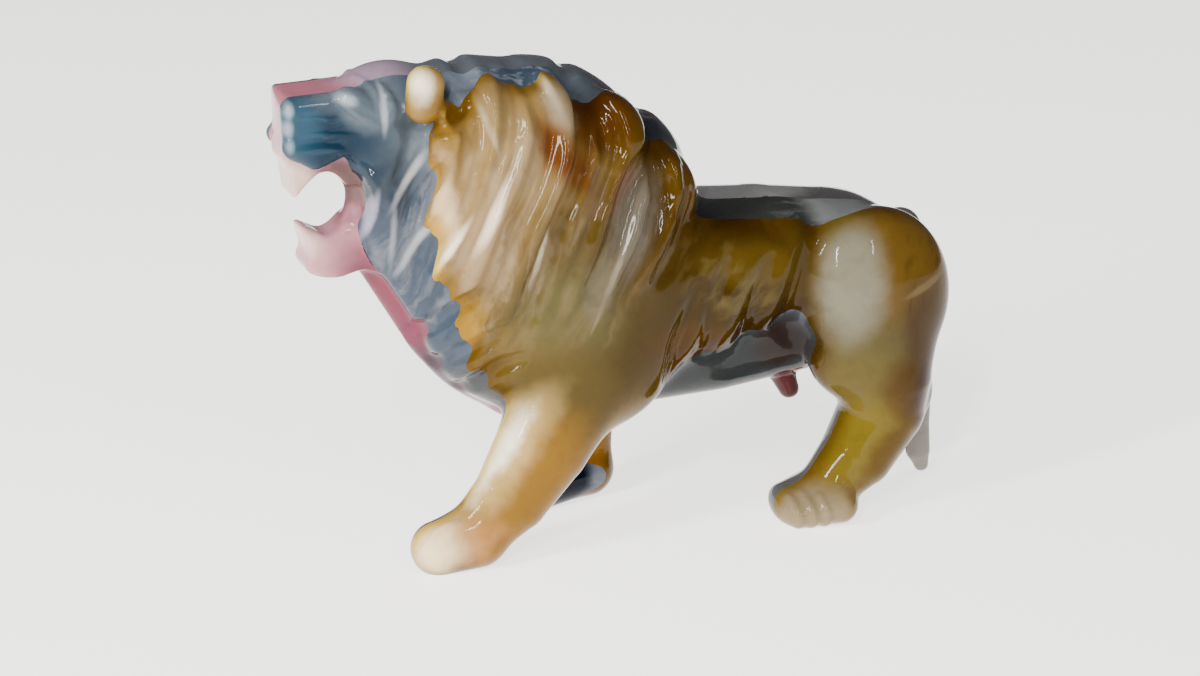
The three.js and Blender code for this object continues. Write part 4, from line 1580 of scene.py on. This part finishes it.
HONEY_TONES_AND_PAINTED_LIGHT = (
    # The broad tones of the mane, with a painted highlight over its milky front
    Cloud((-32, 84), (18, 24), (0.21, 0.13, 0.042), 12, 0.95),
    Cloud((-17, 62), (17, 24), (0.05, 0.029, 0.004), 25, 0.92),
    Cloud((-8, 48), (21, 14), (0.042, 0.024, 0.002), 0, 0.9),
    Cloud((-26, 47), (9, 9), (0.13, 0.08, 0.016), 0, 0.85),
    Cloud((-9, 97), (8, 7), (0.05, 0.017, 0.001)),
    Cloud((-19, 57), (11, 10), (0.085, 0.072, 0.022), 20, 0.75, 0.6),
    Cloud((4, 80), (9, 18), (0.05, 0.024, 0.001), -12, 0.95),
    Cloud((-45, 96), (4, 11), (0.16, 0.085, 0.008), 4, 0.9, 0.6),
    # Milky stone at the front of the mane, lightened further as painted highlight
    Cloud((-37, 70), (5, 18), (0.3, 0.2, 0.105), 16, 0.7, 0.7),
    Streaks((-34, 72), (12, 24), (0.32, 0.23, 0.13), 16, 0.6, 0.4, 3.4, 24, 0.45),
    # Painted highlight: a narrow pale band along the front edge of the mane
    Cloud((-44.6, 76), (2.6, 13), (0.72, 0.5, 0.3), 2, 0.85, 0.7),
    Cloud((-40, 52), (3, 7), (0.44, 0.27, 0.05), 30, 0.85, 0.6),
    # Painted highlights: thin pale streaks along the ridges of its locks
    Cloud((-43.2, 71), (0.8, 7), (0.95, 0.8, 0.55), 27, 0.8, 0.6),
    Cloud((-34.6, 79.4), (0.9, 7), (0.85, 0.7, 0.5), 22, 0.75, 0.7),
    Cloud((-25, 69.5), (0.6, 5.5), (0.7, 0.58, 0.4), 14, 0.7, 0.6),
    Cloud((-9.3, 63.5), (0.5, 9), (0.34, 0.28, 0.19), 22, 0.7, 0.6),
    Cloud((-34.5, 97.8), (0.6, 4.4), (0.55, 0.46, 0.32), -16, 0.6, 0.8),
    Cloud((-20.4, 103), (0.8, 4.4), (0.7, 0.6, 0.45), -24, 0.75, 0.8),
    # Milky and brown streaks between them
    Streaks((-18, 66), (14, 22), (0.125, 0.085, 0.034), 24, 0.8, 0.4, 3.0, 18, 0.46),
    Streaks((-30, 62), (14, 24), (0.06, 0.032, 0.006), 20, 0.6, 0.4, 3.6, 22, 0.5),
    Cloud((-19, 101), (3.2, 5), (0.2, 0.15, 0.09), -20, 0.85, 0.6),
    Cloud((-27, 91), (3.4, 7), (0.27, 0.19, 0.1), 6, 0.7),
    Cloud((-32, 101), (4, 6), (0.2, 0.13, 0.05), 4, 0.8),
    # Red veins
    Cloud((-20.8, 92.6), (3, 6), (0.075, 0.016, 0.001), -18, 0.9, 0.7),
    Cloud((-16, 88), (3.6, 5), (0.075, 0.024, 0.003), -24, 0.9, 0.5),
    Cloud((-5.8, 82.6), (2.2, 4.6), (0.09, 0.024, 0.004), 34, 0.9, 0.5),
    # Milky spots at the back of the mane
    Cloud((-3.6, 75.6), (5.2, 10), (0.1, 0.084, 0.062), 18, 0.85, 0.6),
    Cloud((-12.3, 63), (3, 6), (0.11, 0.092, 0.058), 20, 0.75, 0.6),
    Cloud((-12.6, 82), (2.2, 5.5), (0.085, 0.05, 0.022), 16, 0.8),
    # Flank and ribs
    Cloud((9, 56), (9, 9), (0.042, 0.025, 0.005), 0, 0.8),
    Cloud((25, 55), (22, 18), (0.03, 0.0155, 0.0004), 0, 0.98),
    Cloud((12, 45), (12, 5), (0.05, 0.021, 0.0004), 14, 0.8, 0.4),
    Cloud((26, 62.5), (12, 4.5), (0.062, 0.036, 0.003), 6, 0.9),
    Streaks((19, 60), (14, 7), (0.075, 0.052, 0.014), 40, 0.85, 0.5, 2.6, 7, 0.44),
    Cloud((38, 62), (4, 12), (0.06, 0.034, 0.002), 0, 0.85),
    # Rump, thigh and knee
    Cloud((65, 58), (12, 16), (0.085, 0.046, 0.006)),
    Cloud((66, 42), (9, 13), (0.038, 0.018, 0.002)),
    Streaks((66, 50), (9, 20), (0.026, 0.01, 0.001), 10, 0.6, 0.5, 1.8, 14, 0.5),
    Cloud((52, 41), (8, 9), (0.064, 0.05, 0.014), 0, 0.9),
    Cloud((48.4, 58), (6.4, 13), (0.16, 0.145, 0.1), 3, 0.95, 0.5),
    Cloud((51, 33), (8, 9), (0.085, 0.062, 0.013), 0, 0.85),
    Cloud((61, 31), (6, 8), (0.05, 0.023, 0.001), 0, 0.9),
    Cloud((68.5, 29), (5, 9), (0.024, 0.004, 0.0005)),
    # Hind leg and paw, and a painted highlight: a pale streak on the rump
    Cloud((51, 18), (7, 11), (0.12, 0.084, 0.008), 30, 0.9),
    Cloud((58, 16), (4, 9), (0.07, 0.036, 0.001), 30, 0.9),
    Cloud((38, 3.5), (11, 6), (0.22, 0.165, 0.09), 0, 0.95, 0.35),
    # Painted highlight: a pale streak on the rump
    Cloud((65.5, 55), (5.5, 0.9), (0.12, 0.08, 0.03), -20, 0.8),
    # Forelegs and forepaws
    Cloud((-20, 38), (12, 12), (0.062, 0.04, 0.006), 0, 0.9),
    Cloud((-27, 18), (11, 17), (0.19, 0.09, 0.006), 35, 0.97),
    # Painted highlight: a pale band, white in its middle, down the front of the near shin
    Cloud((-33, 25), (4.8, 15), (0.5, 0.34, 0.12), 38, 0.9, 0.7),
    Cloud((-35.2, 24), (2.4, 12), (0.98, 0.9, 0.7), 38, 0.95, 0.6),
    # Cream stone of the near forepaw, lightened further as a painted highlight on its top
    Cloud((-48, 7.5), (6, 6), (0.95, 0.72, 0.42), 0, 0.95, 0.7),
    Cloud((-38, 7), (6, 5), (0.42, 0.2, 0.06), 0, 0.8, 0.6),
    Cloud((-31, 3), (6, 5), (0.2, 0.09, 0.006), 20, 0.85),
    Cloud((-3, 15), (8, 14), (0.3, 0.15, 0.01), 0, 0.97, 0.3),
    # Ear
    Cloud((-46, 106), (7, 7), (0.3, 0.19, 0.06), 0, 1.0, 0.3),
    Cloud((-44, 101), (5, 4), (0.17, 0.09, 0.012), 0, 0.95, 0.6),
    # Painted highlight: a pale patch at the upper front of the ear
    Cloud((-49, 108.4), (2.2, 4), (0.95, 0.88, 0.74), -10, 0.9, 0.8),
)

BLUE_TONES_AND_PAINTED_LIGHT = (
    # Neck and breast
    Cloud((-48, 66), (16, 28), (0.042, 0.055, 0.076), -20, 0.97),
    Streaks((-47, 70), (11, 28), (0.15, 0.155, 0.175), 24, 0.75, 0.4, 2.4, 26, 0.46),
    Streaks((-46, 56), (14, 20), (0.02, 0.034, 0.058), 24, 0.6, 0.4, 2.6, 20, 0.5),
    Cloud((-34, 38), (9, 8), (0.036, 0.036, 0.036), 0, 0.9),
    # Cheek and muzzle
    Cloud((-51, 97), (8, 9), (0.09, 0.108, 0.122), 0, 0.9, 0.6),
    Cloud((-55, 87), (5, 6), (0.026, 0.036, 0.046), 0, 0.9, 0.6),
    Cloud((-64, 96), (12, 8), (0.005, 0.017, 0.032), 5, 1.0, 0.6),
    Cloud((-72, 99), (4, 7), (0.016, 0.056, 0.09), 0, 0.8, 0.7),
    Streaks((-67, 97), (9, 6), (0.03, 0.07, 0.1), 88, 0.6, 0.5, 1.6, 20, 0.47),
    # Painted highlights on the beads of the nostril
    Cloud((-73.6, 102), (0.8, 1.4), (0.3, 0.35, 0.38), 0, 0.7, 0.8),
    Cloud((-73.8, 98.2), (0.8, 1.6), (0.28, 0.33, 0.36), 0, 0.7, 0.8),
    Cloud((-73.6, 94.6), (0.7, 1.4), (0.2, 0.25, 0.28), 0, 0.7, 0.8),
    # Eye and crescent
    Cloud((-58, 102), (5.5, 4.2), (0.075, 0.096, 0.114), 35, 0.95, 0.5),
    # Painted highlights: a pale spot on the eye and a pale line along the crescent
    Cloud((-61.8, 103.6), (1.7, 1), (0.36, 0.4, 0.42), 20, 0.75, 0.9),
    Cloud((-54.4, 101.4), (0.6, 4), (0.34, 0.36, 0.4), 0, 0.75, 0.8),
    # Painted shade in the recess at the corner of the mouth, a painted highlight on the ridge beside it, and
    # painted highlights as pale streaks on the neck
    # Painted shade: a dark band in the recess at the corner of the mouth
    Cloud((-58.8, 83.4), (1.2, 4), (0.003, 0.01, 0.028), -10, 0.95, 0.5),
    # Painted highlight: a pale line along the ridge behind the mouth corner
    Cloud((-57.4, 78.4), (0.7, 4.6), (0.34, 0.32, 0.4), 14, 0.75, 0.7),
    # Painted highlights: thin pale streaks on the ridges of the neck
    Cloud((-49.6, 86.2), (0.8, 5.6), (0.44, 0.43, 0.45), 33, 0.7, 0.7),
    Cloud((-48, 73), (0.8, 6.6), (0.4, 0.4, 0.43), 31, 0.7, 0.7),
    Cloud((-53, 75), (0.6, 6), (0.26, 0.27, 0.31), 4, 0.6, 0.8),
    # Crest
    # Slate tone of the crest, darkened further as a painted dark reflection on its top
    Cloud((-31, 107), (20, 8), (0.025, 0.04, 0.06), 4, 0.95),
    Cloud((-36, 105), (5, 4), (0.14, 0.165, 0.2), 0, 0.85),
    Streaks((-28, 106), (20, 9), (0.2, 0.22, 0.25), -50, 0.8, 0.4, 1.6, 12, 0.47),
    Cloud((4, 94), (17, 15), (0.012, 0.014, 0.016), 40, 0.95),
    # Back
    Cloud((36, 72), (32, 9), (0.018, 0.019, 0.016), 0, 0.97),
    Cloud((10, 72), (9, 8), (0.006, 0.007, 0.006), 0, 0.9),
    Streaks((40, 73), (26, 7), (0.1, 0.1, 0.1), 88, 0.7, 0.4, 1.4, 20, 0.48),
    Cloud((49, 73), (8, 5), (0.13, 0.135, 0.13), 0, 0.8),
    # Belly, darkened as painted shade underneath
    # Painted shade: the grey belly darkened underneath
    Cloud((20, 38), (27, 9), (0.015, 0.018, 0.018), -8, 0.98),
    Cloud((36, 41), (7, 6), (0.02, 0.012, 0.01), 0, 0.9),
    # Hind legs and the far forepaw
    Cloud((44, 16), (14, 18), (0.07, 0.064, 0.055), 30, 0.9),
    Cloud((-10, 8), (10, 10), (0.001, 0.004, 0.011), 0, 1.0, 0.2),
)

PINK_TONES_AND_PAINTED_LIGHT = (
    # Ridge of the nose and forehead
    Cloud((-68, 104), (12, 7), (0.42, 0.115, 0.16), 0, 0.95),
    Cloud((-75, 95), (3, 8), (0.4, 0.17, 0.2), 0, 0.9, 0.6),
    Cloud((-51, 108), (11, 8), (0.24, 0.18, 0.23), 0, 0.95),
    # Crest
    # Grey slate of the crest in the centre slab, darkened as a painted dark reflection on its top
    Cloud((-24, 106), (23, 14), (0.052, 0.064, 0.075), 0, 0.97, 0.3),
    Cloud((6, 92), (18, 20), (0.018, 0.018, 0.016), 0, 0.97),
    # Back with a painted reflection along its top edge, and the belly darkened as painted shade underneath
    Cloud((38, 70), (36, 14), (0.045, 0.046, 0.043), 0, 0.97),
    # Painted reflection: a thin pale line along the top edge of the back
    Cloud((40, 75.4), (28, 1.6), (0.24, 0.235, 0.225), 0, 0.8),
    Streaks((36, 73), (34, 9), (0.22, 0.21, 0.21), 88, 0.6, 0.4, 1.6, 22, 0.48),
    # Painted shade: the grey belly darkened underneath
    Cloud((16, 36), (30, 12), (0.012, 0.012, 0.01), 0, 0.97),
    # Mouth, lips and lower jaw
    Cloud((-60, 85), (7, 6), (0.1, 0.06, 0.05), 0, 0.85),
    Cloud((-73, 85), (5, 6), (0.62, 0.44, 0.36), 0, 0.95, 0.5),
    Cloud((-66, 70), (10, 6), (0.5, 0.24, 0.26), 0, 0.95),
    Cloud((-71, 74), (4, 4), (0.62, 0.42, 0.38), 0, 0.7, 0.7),
    # Throat and breast
    Cloud((-51, 56), (9, 20), (0.15, 0.032, 0.052), -30, 0.95),
    Cloud((-39, 41), (8, 9), (0.045, 0.035, 0.045), 0, 0.9),
    # Bump under the belly, and tail
    Cloud((42, 30), (4.5, 6), (0.07, 0.016, 0.018), 0, 0.95, 0.3),
    Cloud((73, 44), (11, 34), (0.08, 0.074, 0.064), 0, 0.98, 0.25),
    Cloud((77, 12), (6, 18), (0.2, 0.184, 0.16), 0, 0.95),
    Cloud((45, 10), (14, 14), (0.05, 0.045, 0.04), 0, 0.97),
)

FINISHES = {
    Stone.HONEY: OnyxFinish(
        "honey_onyx", ((0.05, 0.022, 0.002), (0.09, 0.048, 0.006), (0.15, 0.09, 0.022)), HONEY_TONES_AND_PAINTED_LIGHT,
        rim=(0.62, 0.5, 0.1),
    ),
    Stone.BLUE_GREY: OnyxFinish(
        "blue_grey_onyx", ((0.04, 0.05, 0.06), (0.08, 0.095, 0.115), (0.14, 0.16, 0.185)), BLUE_TONES_AND_PAINTED_LIGHT,
    ),
    Stone.PINK: OnyxFinish(
        "pink_onyx", ((0.2, 0.07, 0.085), (0.36, 0.16, 0.19), (0.5, 0.3, 0.32)), PINK_TONES_AND_PAINTED_LIGHT,
    ),
}


@dataclass
class Lion:
    """The whole animal, from clay to dressed stone."""

    trunk: Trunk = field(default_factory=Trunk)
    mane: Mane = field(default_factory=Mane)
    legs: Legs = field(default_factory=Legs)
    head: Head = field(default_factory=Head)
    tail: Tail = field(default_factory=Tail)
    coat: Coat = field(default_factory=Coat)

    def sculpt(self) -> bpy.types.Mesh:
        """Model the clay.

        Returns:
            The clay's skin as one mesh, in metres.
        """
        clay = Clay(FINE_CELL)
        for part in (self.trunk, self.mane, self.legs, self.head, self.tail, self.coat):
            part.model(clay)
        self.head.model_ears(clay)
        points, quads = clay.skin()
        points[:, 0] -= MIDDLE_X
        mesh = bpy.data.meshes.new("carved_lion")
        mesh.from_pydata((points * MM).tolist(), [], quads.tolist())
        mesh.update()
        mesh.shade_smooth()
        return mesh

    def engrave(self, carved: bpy.types.Mesh) -> bpy.types.Mesh:
        """Cut the fine lines of coat, face and paws into the carved lion.

        Args:
            carved: the skin of the clay.

        Returns:
            The engraved skin.
        """
        whole = bpy.data.objects.new("whole_lion", carved)
        bpy.context.scene.collection.objects.link(whole)
        raw_stone = bpy.data.materials.new("raw_stone")
        tools = (
            Engraver("mane_partings", self.coat.partings(), depth=0.55, width=1.4),
            Engraver("hair_lines", self.coat.hairs(), depth=0.3, width=0.95),
            Engraver("face_creases", self.head.creases(), depth=0.55, width=1.3),
            Engraver("whisker_lines", self.head.whisker_lines(), depth=0.22, width=0.8),
            Engraver("toe_lines", self.legs.toes(), depth=0.6, width=1.3),
        )
        drawings = [tool.fit(whole, raw_stone) for tool in tools]
        graph = bpy.context.evaluated_depsgraph_get()
        engraved = bpy.data.meshes.new_from_object(whole.evaluated_get(graph))
        whole.modifiers.clear()
        for spare in [whole, *drawings]:
            bpy.data.objects.remove(spare)
        bpy.data.meshes.remove(carved)
        engraved.materials.clear()
        return engraved

    def build(self) -> list[bpy.types.Object]:
        """Carve, saw and dress the lion.

        Returns:
            Its pieces.
        """
        whole = self.engrave(self.sculpt())
        pieces = []
        for slab in SLABS:
            piece = saw(whole, slab)
            piece.data.materials.append(FINISHES[slab.stone].make())
            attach(piece, "root")
            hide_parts(slab.node)
            pieces.append(piece)
        bpy.data.meshes.remove(whole)
        return pieces


@dataclass(frozen=True)
class SoftLight:
    """A rectangular light: its place, width and height in metres and its power in watts."""

    name: str
    place: Point
    size: Place
    power: float

    def hang(self, aim: Vector) -> None:
        """Put up the light.

        Args:
            aim: the point that it looks at.
        """
        light = bpy.data.lights.new(self.name, "AREA")
        light.shape = "RECTANGLE"
        light.size, light.size_y = self.size
        light.energy = self.power
        lamp = bpy.data.objects.new(self.name, light)
        bpy.context.scene.collection.objects.link(lamp)
        lamp.location = self.place
        lamp.rotation_mode = "QUATERNION"
        lamp.rotation_quaternion = (Vector(self.place) - aim).to_track_quat("Z", "Y")


@dataclass
class Studio:
    """Pale floor, soft lights and the camera at the photograph's angle, in metres and degrees."""

    azimuth: float = -20.0
    elevation: float = 17.5
    distance: float = 0.530
    target: Point = (-0.0063, 0.0, 0.0435)
    focal_pixels: float = 2385.0
    picture_width: int = 1200
    sensor_width: float = 36.0
    nearest_seen: float = 0.01

    floor_half: float = 3.0
    floor_colour: Colour = (0.9, 0.89, 0.86)
    floor_roughness: float = 0.9
    floor_specular: float = 0.1
    floor_light: Colour = (1.0, 0.985, 0.95)
    floor_glow: float = 2.0

    aim: Point = (0.0, 0.0, 0.055)
    lights: tuple[SoftLight, ...] = (
        SoftLight("window", (-0.7, -0.3, 0.42), (0.1, 0.36), 9.0),
        SoftLight("strip", (-0.36, -0.6, 0.46), (0.02, 0.4), 5.0),
        SoftLight("edge", (0.1, -0.75, 0.6), (0.015, 0.3), 1.4),
    )
    air_light: Colour = (0.92, 0.94, 1.0)
    air_strength: float = 0.22

    def back(self) -> Vector:
        """Return the direction from the target to the camera."""
        turn, rise = math.radians(self.azimuth), math.radians(self.elevation)
        return Vector((math.sin(turn) * math.cos(rise), -math.cos(turn) * math.cos(rise), math.sin(rise)))

    def add_camera(self) -> None:
        """Place the camera."""
        lens = bpy.data.cameras.new("camera")
        lens.sensor_width = self.sensor_width
        lens.lens = self.focal_pixels / self.picture_width * self.sensor_width
        lens.clip_start = self.nearest_seen
        camera = bpy.data.objects.new("camera", lens)
        bpy.context.scene.collection.objects.link(camera)
        camera.location = Vector(self.target) + self.back() * self.distance
        camera.rotation_mode = "QUATERNION"
        camera.rotation_quaternion = self.back().to_track_quat("Z", "Y")
        bpy.context.scene.camera = camera

    def add_floor(self) -> None:
        """Add the pale floor, which glows a little as a lit table does."""
        mesh = bpy.data.meshes.new("floor")
        half = self.floor_half
        corners = [(-half, -half, 0), (half, -half, 0), (half, half, 0), (-half, half, 0)]
        mesh.from_pydata(corners, [], [(0, 1, 2, 3)])
        mesh.materials.append(self.floor_material())
        floor = bpy.data.objects.new("floor", mesh)
        bpy.context.scene.collection.objects.link(floor)

    def floor_material(self) -> bpy.types.Material:
        """Make the floor's matt, faintly glowing material.

        Returns:
            The material.
        """
        material = bpy.data.materials.new("pale_floor")
        material.use_nodes = True
        inputs = material.node_tree.nodes["Principled BSDF"].inputs
        inputs["Base Color"].default_value = (*self.floor_colour, 1)
        inputs["Roughness"].default_value = self.floor_roughness
        inputs["Specular IOR Level"].default_value = self.floor_specular
        inputs["Emission Color"].default_value = (*self.floor_light, 1)
        inputs["Emission Strength"].default_value = self.floor_glow
        return material

    def add_air(self) -> None:
        """Fill the studio with faint light from all sides."""
        world = bpy.data.worlds.new("studio_air")
        world.use_nodes = True
        inputs = world.node_tree.nodes["Background"].inputs
        inputs["Color"].default_value = (*self.air_light, 1)
        inputs["Strength"].default_value = self.air_strength
        bpy.context.scene.world = world

    def build(self) -> None:
        """Set up the studio."""
        self.add_camera()
        self.add_floor()
        for light in self.lights:
            light.hang(Vector(self.aim))
        self.add_air()


def main() -> None:
    """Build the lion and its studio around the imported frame."""
    logging.basicConfig(level=logging.INFO, format="%(name)s: %(message)s")
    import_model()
    for piece in Lion().build():
        LOG.info("%s: %d faces", piece.name, len(piece.data.polygons))
    Studio().build()


if __name__ == "__main__":
    main()
